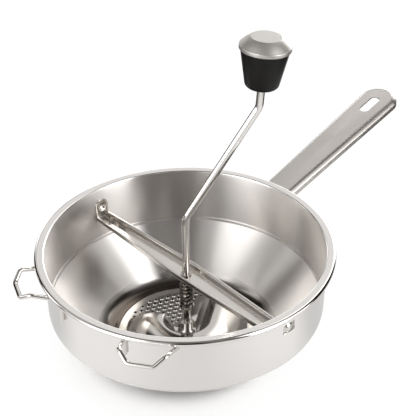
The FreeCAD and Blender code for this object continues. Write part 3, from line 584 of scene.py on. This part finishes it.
def bent_bar(name, corners, bends, diameter, sides=28):
    """A round bar: its end ring is pulled along each straight run and spun round each bend."""
    heading = (corners[1] - corners[0]).normalized()
    bpy.ops.object.select_all(action="DESELECT")
    aim = heading.to_track_quat("Z", "Y").to_euler()
    bpy.ops.mesh.primitive_circle_add(vertices=sides, radius=diameter / 2 * MM, location=corners[0] * MM,
                                      rotation=aim)
    bar = named(name)
    edit_all()
    here = corners[0]
    for corner, after, radius in zip(corners[1:], corners[2:], bends):
        back, ahead = (here - corner).normalized(), (after - corner).normalized()
        half = back.angle(ahead) / 2
        run, turn = radius / math.tan(half), math.pi - 2 * half
        centre = corner + (back + ahead).normalized() * (radius / math.sin(half))
        straight = (corner + back * run - here) * MM
        pull_edges(straight)
        bpy.ops.mesh.spin(steps=max(3, round(turn / math.radians(6))), angle=-turn, center=centre * MM,
                          axis=(-back).cross(ahead).normalized())
        here = corner + ahead * run
    pull_edges((corners[-1] - here) * MM)
    bpy.ops.mesh.select_all(action="SELECT")
    bpy.ops.mesh.fill_holes(sides=0)
    tidy_mesh()
    return bar


# Bright-drawn stainless wire, tumbled until smooth.
wire_steel = buffed_steel("tumbled_stainless_wire", ("#E2DFDB", "#D8D4CF"), 0.07, 0.18, 0.4, 0.002)
for name, node, side, run in (("rest_left", "rest_hook_left", 1, 10.5),
                              ("rest_right", "rest_hook_right", -1, -2.5)):
    reach = WALL_RADIUS + WIRE / 2 - WELD_SINK
    level = RIM_TOP - REST_DROP
    spin = math.radians(REST_MIDDLE - side * REST_SPREAD)

    def on_wall(along, height):
        turn = spin + side * along / reach
        return Vector((reach * math.cos(turn), reach * math.sin(turn), height))

    def off_wall(along, out, height):
        ahead = Vector((math.cos(spin), math.sin(spin), 0)) * (WALL_RADIUS + out)
        aside = Vector((-math.sin(spin), math.cos(spin), 0)) * side * along
        return ahead + aside + Vector((0, 0, height))

    corners = [on_wall(REST_HALF + run, level - REST_LEG), on_wall(REST_HALF + run, level)]
    bends = [WIRE]
    if run > WIRE * 2:
        corners.append(on_wall(REST_HALF, level))
        bends.append(WIRE)
    corners += [
        off_wall(SHOULDER[0], SHOULDER[1], level + REST_RISE),
        off_wall(NOSE[0], NOSE[1], level),
        off_wall(-NOSE[0], NOSE[1], level),
        off_wall(-SHOULDER[0], SHOULDER[1], level + REST_RISE),
        on_wall(-REST_HALF, level),
    ]
    bends += [SHOULDER_BEND, NOSE_BEND, NOSE_BEND, SHOULDER_BEND]
    rest = bent_bar(name, corners, bends, WIRE)
    bpy.ops.mesh.primitive_cylinder_add(vertices=360, radius=(WALL_RADIUS - WELD_FACE) * MM, depth=0.2)
    cut_away(rest, bpy.context.object)
    soften(rest, 0.35)
    fit(rest, "bowl", "wire_steel", wire_steel, node, angle=40)


# ---------------------------------------------------------------- bridge
# The bridge is a channel pressed from 1.2 mm strip, widest in the middle, with lipped edges. Its
# upturned ends snap into the wall's slots by a pressed boss, so that it lifts out for washing.
STRIP, WEB, CHANNEL_DEPTH, LIP, LIP_BEND, WEB_BEND = 1.2, 67.2, 6.8, 1.4, 1.1, 1.5
HALF_CENTRE, HALF_END, CHANNEL_REACH, RUNS = 9.6, 5.6, 112.0, 12
BUSH_HOLE, PIN_HOLES, PIN_HOLE = 4.2, (100.6, 104.4), 1.3
TAB_HALF, TAB_TOP, TAB_FOOT, BOSS, BOSS_OUT, BOSS_EDGE = 6.4, 89.2, 0.4, 4.2, 2.3, 0.9

half, deep = HALF_END - STRIP / 2, CHANNEL_DEPTH - STRIP / 2
section = eased([
    (-half - STRIP / 2 - LIP, deep, 0), (-half, deep, LIP_BEND), (-half, STRIP / 2, WEB_BEND),
    (half, STRIP / 2, WEB_BEND), (half, deep, LIP_BEND), (half + STRIP / 2 + LIP, deep, 0),
], closed=False)
start = -(CHANNEL_REACH - STRIP)
bridge = drawn("bridge", section, lambda p: Vector((start, p.x, p.y + WEB)) * MM, False)
edit_all()
for k in range(RUNS):
    pull_edges((-2 * start * MM / RUNS, 0, 0))
bpy.ops.object.mode_set(mode="OBJECT")
for vertex in bridge.data.vertices:
    share = 1 - abs(vertex.co.x / (start * MM))
    vertex.co.y += math.copysign((HALF_CENTRE - HALF_END) * share * MM, vertex.co.y)
bpy.ops.object.mode_set(mode="EDIT")
tidy_mesh()
apply_modifier(bridge, "SOLIDIFY", thickness=STRIP * MM, offset=0.0, use_even_offset=True)
soften(bridge, 0.22)
for x, radius, sides in ((0, BUSH_HOLE, 48), (PIN_HOLES[1], PIN_HOLE, 32), (PIN_HOLES[0], PIN_HOLE, 32)):
    bpy.ops.mesh.primitive_cylinder_add(vertices=sides, radius=radius * MM, depth=0.02,
                                        location=(x * MM, 0, WEB * MM))
    cut_away(bridge, bpy.context.object)

tabs = []
for side in (1, -1):
    round_top, edge_radius = TAB_HALF * 0.9, BOSS + BOSS_EDGE
    face = eased([
        (-TAB_HALF, WEB + TAB_FOOT, 0.8), (TAB_HALF, WEB + TAB_FOOT, 0.8),
        (TAB_HALF, TAB_TOP, round_top), (-TAB_HALF, TAB_TOP, round_top),
    ])
    x = side * (CHANNEL_REACH - STRIP / 2)
    tab = drawn("tab", face, lambda p: Vector((x, p.x, p.y)) * MM, True)
    bpy.ops.mesh.primitive_circle_add(vertices=40, radius=edge_radius * MM,
                                      location=(x * MM, 0, SLOT_LEVEL * MM), rotation=(0, math.pi / 2, 0))
    ring = bpy.context.object
    ring.select_set(True)
    tab.select_set(True)
    bpy.context.view_layer.objects.active = tab
    bpy.ops.object.join()
    edit_all()
    bpy.ops.mesh.bridge_edge_loops()
    bpy.ops.mesh.select_all(action="DESELECT")
    bpy.ops.object.mode_set(mode="OBJECT")
    hub = Vector((x, 0, SLOT_LEVEL)) * MM
    for edge in tab.data.edges:
        ends = [tab.data.vertices[i].co for i in edge.vertices]
        edge.select = all(abs((e - hub).length - edge_radius * MM) < MM / 50 for e in ends)
    bpy.ops.object.mode_set(mode="EDIT")
    bpy.ops.mesh.select_mode(type="EDGE")
    # The boss is a cap of a ball with a small fillet at its foot.
    ball = (BOSS ** 2 + BOSS_OUT ** 2) / (2 * BOSS_OUT)
    rings = [(BOSS + 0.3, 0.12)]
    for reach in (BOSS * share for share in (0.93, 0.8, 0.62, 0.42, 0.2)):
        rings.append((reach, math.sqrt(ball ** 2 - reach ** 2) - ball + BOSS_OUT))
    before = (edge_radius, 0.0)
    for radius, out in rings:
        rise = side * (out - before[1]) * MM
        pull_edges((rise, 0, 0))
        shrink = radius / before[0]
        bpy.ops.transform.resize(value=(1, shrink, shrink), center_override=hub)
        before = (radius, out)
    bpy.ops.mesh.fill_holes(sides=0)
    bpy.ops.mesh.edge_face_add()
    tidy_mesh()
    apply_modifier(tab, "SOLIDIFY", thickness=STRIP * MM, offset=0.0)
    soften(tab, 0.2)
    tabs.append(tab)
for piece in tabs:
    piece.select_set(True)
bridge.select_set(True)
bpy.context.view_layer.objects.active = bridge
bpy.ops.object.join()
bridge.data.transform(Matrix.Rotation(BRIDGE_ANGLE, 4, "Z"))

# Cold-rolled stainless strip, lightly buffed after pressing.
strip_steel = buffed_steel("pressed_stainless_strip", ("#DAD6D1", "#CFCBC5"), 0.12, 0.24, 0.5, 0.003)
fit(bridge, "bowl", "bridge_steel", strip_steel, "bridge_bar", angle=35)


# ---------------------------------------------------------------- shaft fittings
# Small turned steel parts on the shaft: the bush in the bridge, the washers, and the pinned collar
# that the spring presses on.
fitting_steel = buffed_steel("turned_steel", ("#BDB9B4", "#ACA8A2"), 0.14, 0.28, 0.3, 0.004)
for name, node, body in (
    ("bush", "bridge_bush", "bowl"), ("upper_washer", "spring_washer", "bowl"),
    ("lower_washer", "thrust_washer", "thrust"), ("collar", "shaft_collar", "crank"),
    ("collar_pin_end", "collar_pin", "crank"), ("hub", "blade_hub", "crank"),
    ("hub_pin_end", "hub_pin", "crank"), ("stop_ring", "knob_stop_ring", "crank"),
    ("ring_washer", "knob_washer", "crank"), ("lock_ring", "knob_lock_ring", "crank"),
    ("sleeve", "knob_sleeve", "knob"),
):
    piece = merged_copy(name, node)
    fit(piece, body, "fitting_steel", fitting_steel, node, angle=30)


# ---------------------------------------------------------------- spring
# The pressure spring is cold-coiled from 1.6 mm hard-drawn wire. It sits between two washers,
# pushes the blade on the disc, and shortens as the blade lifts.
COIL, COIL_WIRE, COIL_BOTTOM, COIL_TOP, COIL_TURNS, COIL_STEPS = 4.95, 1.6, 36.95, 66.35, 7.5, 330
first_middle = COIL_BOTTOM + COIL_WIRE / 2
coil_rise = COIL_TOP - COIL_BOTTOM - COIL_WIRE
bpy.ops.object.select_all(action="DESELECT")
bpy.ops.mesh.primitive_circle_add(vertices=14, radius=COIL_WIRE / 2 * MM, rotation=(math.pi / 2, 0, 0),
                                  location=(COIL * MM, 0, first_middle * MM), fill_type="NGON")
spring = named("spring")
apply_modifier(spring, "SCREW", angle=COIL_TURNS * 2 * math.pi, iterations=1, steps=COIL_STEPS,
               render_steps=COIL_STEPS, screw_offset=coil_rise * MM)
edit_all()
bpy.ops.mesh.fill_holes(sides=0)
tidy_mesh()
# The wire's colour is darkened as painted shade, standing in for the dark reflections among the coils.
spring_steel = buffed_steel("hard_drawn_spring_wire", ("#6E6963", "#4F4A44"), 0.08, 0.14, 0.8, 0.001)
# The end coils are closed: their wire is pulled to lie on the next turn.
pitch = coil_rise / COIL_TURNS
for vertex in spring.data.vertices:
    around = math.atan2(vertex.co.y, vertex.co.x) / (2 * math.pi)
    turns = around + round((vertex.co.z / MM - first_middle) / pitch - around)
    from_end = min(turns, COIL_TURNS - turns)
    pull = (pitch - COIL_WIRE) * max(0.0, 1 - abs(from_end - 1)) ** 1.5
    vertex.co.z += math.copysign(pull, turns - COIL_TURNS / 2) * MM
fit(spring, "bowl", "spring_steel", spring_steel, "pressure_spring", angle=40)
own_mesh(spring)


# ---------------------------------------------------------------- crank rod
# One 6 mm stainless bar makes the shaft, the sloping arm and the stem that the knob turns on. It
# is bent cold and polished, and its lower tip is turned down to run in the disc's centre hole.
CRANK_ANGLE, THROW, BEND_LEVEL, ELBOW_LEVEL = math.radians(-46.1), 55.6, 122.5, 219.5
STEM_LEAN, STEM_LENGTH, ROD, ROD_END, LOWER_BEND, UPPER_BEND = math.radians(3.4), 46.0, 6.0, 9.2, 18.0, 12.0
TIP, TIP_END, TIP_CHAMFER, TIP_TOP = 2.5, 4.2, 0.5, 9.4
outward = Vector((math.cos(CRANK_ANGLE), math.sin(CRANK_ANGLE), 0))
elbow = outward * THROW + Vector((0, 0, ELBOW_LEVEL))
lean_axis = outward * math.sin(STEM_LEAN) + Vector((0, 0, math.cos(STEM_LEAN)))
rod_line = [Vector((0, 0, ROD_END)), Vector((0, 0, BEND_LEVEL)), elbow, elbow + lean_axis * STEM_LENGTH]
rod = bent_bar("rod", rod_line, [LOWER_BEND, UPPER_BEND], ROD, sides=40)
soften(rod, 0.4)
tip_outline = eased([(0, TIP_END, 0), (TIP, TIP_END, TIP_CHAMFER), (TIP, TIP_TOP, 0), (0, TIP_TOP, 0)])
tip = turned("rod_tip", tip_outline, 40)
rod_steel = buffed_steel("polished_stainless_bar", BRIGHT_STEEL, 0.06, 0.15, 0.6, 0.002)
fit(rod, "crank", "rod_steel", rod_steel, "crank_rod", angle=40)
fit(tip, "crank", "rod_steel", rod_steel, angle=40)


# ---------------------------------------------------------------- blade
# The blade is pressed from 1 mm sheet: a steep inner wall and a crest that curves down to the
# disc. Half of it is round and the rest runs out straight, so that it wedges food under its rim.
BLADE_LEVEL, BLADE_SHEET, CREST, CREST_ROUND, FLANK = 9.7, 1.0, (21.0, 19.8), 2.1, 42.75
WALL_TILT, FLANK_TURN, BLADE_ANGLE = math.radians(54), math.radians(45.2), math.radians(116.7)
BLADE_SWEEP, BLADE_LEG, LEG_FLOOR, BLADE_RIM, HUB_PLATE = math.radians(182), 46.0, 11.0, 51.5, 12.0
BLADE_BORE, FLOOR_END, FLOOR_BEND, LEG_MIDDLE, LEG_SHEET, PLATE_SHEET = 5.2, 11.07, 1.5, 3.5, 0.9, 0.92
CREST_STEPS, FLANK_STEPS, LEG_STEPS = 6, 18, 12

profile = eased([
    (BLADE_BORE, BLADE_LEVEL, 0),
    (FLOOR_END, BLADE_LEVEL, FLOOR_BEND),
    (CREST[0] - CREST_ROUND * math.sin(WALL_TILT), CREST[1] + CREST_ROUND * math.cos(WALL_TILT), 0),
], closed=False)
for k in range(1, CREST_STEPS + 1):
    angle = math.pi / 2 + WALL_TILT * (1 - k / CREST_STEPS)
    profile.append(Vector(CREST) + Vector((math.cos(angle), math.sin(angle))) * CREST_ROUND)
for k in range(1, FLANK_STEPS + 1):
    angle = math.pi / 2 - FLANK_TURN * k / FLANK_STEPS
    profile.append(Vector((CREST[0] + FLANK * math.cos(angle),
                           CREST[1] + CREST_ROUND + FLANK * (math.sin(angle) - 1))))
blade = drawn("blade", profile, lambda p: Vector((p.x, 0, p.y)) * MM, False)
along = Vector((-math.sin(BLADE_SWEEP), math.cos(BLADE_SWEEP), 0))
edit_all()
bpy.ops.mesh.spin(steps=96, angle=-BLADE_SWEEP, center=(0, 0, 0), axis=(0, 0, 1))
for k in range(LEG_STEPS):
    pull_edges(along * BLADE_LEG * MM / LEG_STEPS)
tidy_mesh()
apply_modifier(blade, "SOLIDIFY", thickness=BLADE_SHEET * MM, offset=0.0, use_even_offset=True)

# The floor of the straight part, and the round plate under the hub.
bpy.ops.object.select_all(action="DESELECT")
bpy.ops.mesh.primitive_cube_add(size=1, location=(LEG_MIDDLE * MM, BLADE_LEG / 2 * MM, BLADE_LEVEL * MM),
                                scale=(LEG_FLOOR * MM, BLADE_LEG * MM, LEG_SHEET * MM))
strip = named("blade_floor")
strip.data.transform(Matrix.Rotation(BLADE_SWEEP, 4, "Z"))
for piece in (blade, strip):
    bpy.ops.mesh.primitive_cylinder_add(vertices=240, radius=BLADE_RIM * MM, depth=60 * MM,
                                        location=(0, 0, 20 * MM))
    limit = bpy.context.object
    apply_modifier(piece, "BOOLEAN", object=limit, operation="INTERSECT", solver="EXACT")
    bpy.data.objects.remove(limit)
bpy.ops.object.select_all(action="DESELECT")
bpy.ops.mesh.primitive_cylinder_add(vertices=96, radius=HUB_PLATE * MM, depth=PLATE_SHEET * MM,
                                    location=(0, 0, BLADE_LEVEL * MM))
plate = named("hub_plate")
for piece in (plate, strip, blade):
    piece.select_set(True)
bpy.context.view_layer.objects.active = blade
bpy.ops.object.join()
soften(blade, 0.2)
blade.data.transform(Matrix.Rotation(BLADE_ANGLE, 4, "Z"))

# Pressed sheet, tumbled bright: soft-edged reflections that bend with the form.
blade_steel = buffed_steel("pressed_stainless_blade", ("#D2CEC9", "#C4C0BA"), 0.09, 0.17, 2.0, 0.001)
fit(blade, "crank", "blade_steel", blade_steel, "press_blade", angle=35)


# ---------------------------------------------------------------- knob
# The knob is a moulded black grip with a pressed steel cap that is crimped over its rim. It spins
# on the stem.
GRIP_FOOT, GRIP_TOP, GRIP_BORE, SLEEVE_BORE, BORE_STEP = 16.0, 46.0, 5.7, 4.8, 20.0
BRIM, SLOPE_FOOT, SLOPE_RUN, SLOPE_BULGE = 18.9, (18.2, 48.7), Vector((-6.6, 5.6)), 1.1
CAP_TOP, CAP_STEPS = 54.4, 9

grip_outline = eased([
    (GRIP_BORE, GRIP_FOOT, 0.4), (12.2, GRIP_FOOT, 4.0), (17.9, 45.3, 0.5), (17.3, GRIP_TOP, 0),
    (SLEEVE_BORE, GRIP_TOP, 0), (SLEEVE_BORE, BORE_STEP, 0), (GRIP_BORE, BORE_STEP, 0),
])
cap_outline = eased([
    (17.5, 45.1, 0), (18.3, 45.0, 0.4), (BRIM, 45.6, 0.6), (BRIM, 48.1, 0.7), (*SLOPE_FOOT, 0),
], closed=False)
for k in range(1, CAP_STEPS):
    share = k / CAP_STEPS
    outwards = Vector((0.65, 0.76)) * SLOPE_BULGE * share * (1 - share)
    cap_outline.append(Vector(SLOPE_FOOT) + SLOPE_RUN * share + outwards)
cap_outline += eased([
    (11.6, 54.25, 0), (11.3, CAP_TOP, 0), (0, CAP_TOP, 0), (0, 53.5, 0), (11.2, 53.2, 0), (17.5, 48.0, 0),
], closed=False)
knob_place = Matrix.Translation(elbow * MM) @ lean_axis.to_track_quat("Z", "Y").to_matrix().to_4x4()


def moulded_plastic(name, hex_code):
    """Black polypropylene from a spark-eroded mould: a fine even grain under a soft gloss."""
    material, tree, shader = new_material(name, Roughness=0.3, Specular_IOR_Level=0.15)
    place, _ = place_of(tree)
    grain = add(tree, "TexNoise", {"Vector": place, "Scale": 1 / 0.5, "Detail": 2.0})
    shade = add(tree, "Mix", {"Factor": grain.outputs["Fac"], 6: colour(hex_code[0]),
                              7: colour(hex_code[1])}, data_type="RGBA")
    tree.links.new(shade.outputs[2], shader.inputs["Base Color"])
    bump = add(tree, "Bump", {"Strength": 0.6, "Distance": 0.01 * MM, "Height": grain.outputs["Fac"]})
    tree.links.new(bump.outputs["Normal"], shader.inputs["Normal"])
    return material


grip = turned("grip", grip_outline, 96)
cap = turned("cap", cap_outline, 96)
for piece in (grip, cap):
    piece.data.transform(knob_place)
grip_plastic = moulded_plastic("moulded_black_polypropylene", ("#0F0E0D", "#161514"))
fit(grip, "knob", "black_plastic", grip_plastic, "knob_grip")
# Pressed sheet with a satin face, in which the studio blurs to a soft sheen.
cap_steel = buffed_steel("pressed_stainless_cap", ("#C4C1BD", "#BBB8B4"), 0.44, 0.5, 4.0, 0.0)
fit(cap, "knob", "cap_steel", cap_steel, "knob_cap", angle=20)


# ---------------------------------------------------------------- studio
# A white table in a dark studio. Tall white and grey cards stand round it under a dim ceiling, and
# the steel mirrors them, the dark gaps between them and the table.
FRONT, TABLE_BACK, TABLE_SIDE, TABLE_MIDDLE = math.radians(220.7), (-240.0, -150.0), (300.0, 390.0), 30.0
SHADE, SHADE_MIDDLE, SHADE_LEVEL, LIT, LIT_SHARE = (58.0, 86.0), -12.0, 0.6, (66.0, 104.0), 0.85
MIRROR_SHARE, DULL, DULL_MIDDLE, DULL_LEVELS = 0.8, (10.0, 150.0), 15.0, (0.74, 0.93)
BESIDE, BESIDE_LEVEL = 80.0, 0.62
SMOOTH = {"interpolation_type": "SMOOTHSTEP"}
bpy.ops.object.select_all(action="DESELECT")
bpy.ops.mesh.primitive_plane_add(size=8)
floor = named("floor")
paper, tree, _ = new_material("white_paper")
rays = add(tree, "LightPath")
mirrored = add(tree, "Math", {0: rays.outputs["Is Glossy Ray"], 1: rays.outputs["Is Transmission Ray"]},
               operation="MAXIMUM")
place, _ = place_of(tree)
front = (math.cos(FRONT), math.sin(FRONT), 0)
right = (-front[1], front[0], 0)
ahead = add(tree, "VectorMath", {0: place, 1: front}, operation="DOT_PRODUCT").outputs["Value"]
aside = add(tree, "VectorMath", {0: place, 1: right}, operation="DOT_PRODUCT").outputs["Value"]

# A mirror sees the table only as far as its back and side edges, and the dark room beyond them.
back = add(tree, "MapRange", {"Value": ahead, "From Min": TABLE_BACK[0], "From Max": TABLE_BACK[1]}, **SMOOTH)
off_middle = add(tree, "Math", {0: aside, 1: TABLE_MIDDLE}, operation="SUBTRACT")
off_middle = add(tree, "Math", {0: off_middle.outputs[0]}, operation="ABSOLUTE")
table = add(tree, "MapRange", {"Value": off_middle.outputs[0], "From Min": TABLE_SIDE[0],
                               "From Max": TABLE_SIDE[1], "To Min": back.outputs["Result"],
                               "To Max": 0.0}, **SMOOTH)

# A shadow is painted on the table under the bowl and a little to its left: its colour is dimmed
# and its glow held back there. Further out, the eye sees it plain white.
left = add(tree, "Math", {0: aside, 1: SHADE_MIDDLE}, operation="SUBTRACT").outputs[0]
near = add(tree, "CombineXYZ", {0: ahead, 1: left}).outputs[0]
near = add(tree, "VectorMath", {0: near}, operation="LENGTH").outputs["Value"]
dim = add(tree, "MapRange", {"Value": near, "From Min": SHADE[0], "From Max": SHADE[1],
                             "To Min": SHADE_LEVEL}, **SMOOTH)
sheet = add(tree, "BsdfDiffuse", {"Color": dim.outputs["Result"]})
lifted = add(tree, "MapRange", {"Value": near, "From Min": LIT[0], "From Max": LIT[1],
                                "To Max": LIT_SHARE}, **SMOOTH)

# A mirror sees the table glow, but the glow is painted duller in front of the bowl's middle and
# beside the bowl, which paints a grey reflection at each side of the wall.
first = add(tree, "Math", {0: 1.0, 1: rays.outputs["Diffuse Depth"]}, operation="SUBTRACT", use_clamp=True)
share = add(tree, "Math", {0: mirrored.outputs[0], 1: first.outputs[0]}, operation="MULTIPLY")
share = add(tree, "Math", {0: share.outputs[0], 1: MIRROR_SHARE}, operation="MULTIPLY")
share = add(tree, "Mix", {"Factor": rays.outputs["Is Camera Ray"], 2: share.outputs[0],
                          3: lifted.outputs["Result"]}, data_type="FLOAT")
off_dull = add(tree, "Math", {0: aside, 1: DULL_MIDDLE}, operation="SUBTRACT")
off_dull = add(tree, "Math", {0: off_dull.outputs[0]}, operation="ABSOLUTE")
fade = add(tree, "MapRange", {"Value": off_dull.outputs[0], "From Min": DULL[0], "From Max": DULL[1],
                              "To Min": DULL_LEVELS[0], "To Max": DULL_LEVELS[1]}, **SMOOTH)
beside = add(tree, "MapRange", {"Value": ahead, "From Max": BESIDE, "To Min": BESIDE_LEVEL}, **SMOOTH)
dull = add(tree, "Math", {0: fade.outputs["Result"], 1: beside.outputs["Result"]}, operation="MULTIPLY")
glow = add(tree, "Mix", {"Factor": mirrored.outputs[0], 2: 1.0, 3: dull.outputs[0]}, data_type="FLOAT")
white = add(tree, "Emission", {"Color": (1, 1, 1, 1), "Strength": glow.outputs[0]})
mixed = add(tree, "MixShader", {0: share.outputs[0], 1: sheet.outputs[0], 2: white.outputs[0]})
beyond = add(tree, "Math", {0: 1.0, 1: table.outputs["Result"]}, operation="SUBTRACT")
beyond = add(tree, "Math", {0: beyond.outputs[0], 1: mirrored.outputs[0]}, operation="MULTIPLY")
clear = add(tree, "BsdfTransparent")
whole = add(tree, "MixShader", {0: beyond.outputs[0], 1: mixed.outputs[0], 2: clear.outputs[0]})
tree.links.new(whole.outputs[0], tree.nodes["Material Output"].inputs["Surface"])
floor.data.materials.append(paper)

# Each card is (azimuth, half width, softness of its edge, brightness), with the angles in degrees.
# The cards are brighter towards their feet, and the dim ceiling begins above their tops.
CARDS = [
    (12, 14, 7, 2.6), (42, 14, 6, 0.85), (71, 8, 6, 0.9), (118, 8, 6, 1.0), (140, 7, 6, 0.6),
    (170, 19, 9, 2.5), (200, 10, 8, 0.6), (247, 10, 8, 0.15), (280, 13, 5, 3.8), (304, 10, 6, 0.9),
]
FEET, TOPS, HORIZON, FEET_GAIN, BELOW_SHARE = (22, 6), (50, 64), (-6, 0), 2.8, 0.08
ROOM, CEILING, LAMPLESS = colour("#2B2622"), 0.2, 0.9
world = bpy.context.scene.world or bpy.data.worlds.new("World")
bpy.context.scene.world = world
world.use_nodes = True
tree = world.node_tree
background = tree.nodes["Background"]
rays = add(tree, "LightPath")
direction = add(tree, "TexCoord").outputs["Generated"]
flat = add(tree, "VectorMath", {0: direction, 1: (1, 1, 0)}, operation="MULTIPLY")
flat = add(tree, "VectorMath", {0: flat.outputs[0]}, operation="NORMALIZE")
level = 0.0
for middle, width, softness, brightness in CARDS:
    toward = (math.cos(math.radians(middle)), math.sin(math.radians(middle)), 0)
    facing = add(tree, "VectorMath", {0: flat.outputs[0], 1: toward}, operation="DOT_PRODUCT")
    away = add(tree, "Math", {0: facing.outputs["Value"]}, operation="ARCCOSINE")
    card = add(tree, "MapRange", {"Value": away.outputs[0], "From Min": math.radians(width + softness),
                                  "From Max": math.radians(width - softness)}, **SMOOTH)
    level = add(tree, "Math", {0: card.outputs["Result"], 1: brightness, 2: level},
                operation="MULTIPLY_ADD").outputs[0]
height = add(tree, "SeparateXYZ", {0: direction}).outputs["Z"]
feet, tops, horizon = [[math.sin(math.radians(angle)) for angle in span] for span in (FEET, TOPS, HORIZON)]
low = add(tree, "MapRange", {"Value": height, "From Min": feet[0], "From Max": feet[1],
                             "To Min": 1.0, "To Max": FEET_GAIN}, **SMOOTH)
level = add(tree, "Math", {0: level, 1: low.outputs["Result"]}, operation="MULTIPLY").outputs[0]
under = add(tree, "MapRange", {"Value": height, "From Min": horizon[0], "From Max": horizon[1],
                               "To Min": BELOW_SHARE}, **SMOOTH)
level = add(tree, "Math", {0: level, 1: under.outputs["Result"]}, operation="MULTIPLY").outputs[0]
over = add(tree, "MapRange", {"Value": height, "From Min": tops[0], "From Max": tops[1]}, **SMOOTH)
level = add(tree, "Mix", {"Factor": over.outputs["Result"], 2: level, 3: CEILING},
            data_type="FLOAT").outputs[0]
cards = add(tree, "CombineColor", {0: level, 1: level, 2: level})
studio = add(tree, "Mix", {"Factor": 1.0, 6: cards.outputs[0], 7: ROOM}, data_type="RGBA", blend_type="ADD")
lit = add(tree, "Mix", {"Factor": rays.outputs["Is Diffuse Ray"], 6: studio.outputs[2],
                        7: (LAMPLESS,) * 3 + (1,)}, data_type="RGBA")
seen = add(tree, "Mix", {"Factor": rays.outputs["Is Camera Ray"], 6: lit.outputs[2], 7: (1, 1, 1, 1)},
           data_type="RGBA")
tree.links.new(seen.outputs[2], background.inputs["Color"])
background.inputs["Strength"].default_value = 1.0

lamp_data = bpy.data.lights.new("ceiling_light", "AREA")
lamp_data.shape, lamp_data.size, lamp_data.energy = "DISK", 2.0, 12.0
lamp = bpy.data.objects.new("ceiling_light", lamp_data)
bpy.context.collection.objects.link(lamp)
lamp.location = (0, 0, 2.5)
lamp.visible_glossy = False

camera_data = bpy.data.cameras.new("camera")
camera_data.lens, camera_data.sensor_width = 77.88, 36.0
camera = bpy.data.objects.new("camera", camera_data)
bpy.context.collection.objects.link(camera)
camera.location = (-0.4337, -0.3967, 0.5168)
camera.rotation_euler = (math.radians(90 - 33.145), 0, math.radians(-49.3))
bpy.context.scene.camera = camera

view = bpy.context.scene.view_settings
view.view_transform = "Standard"
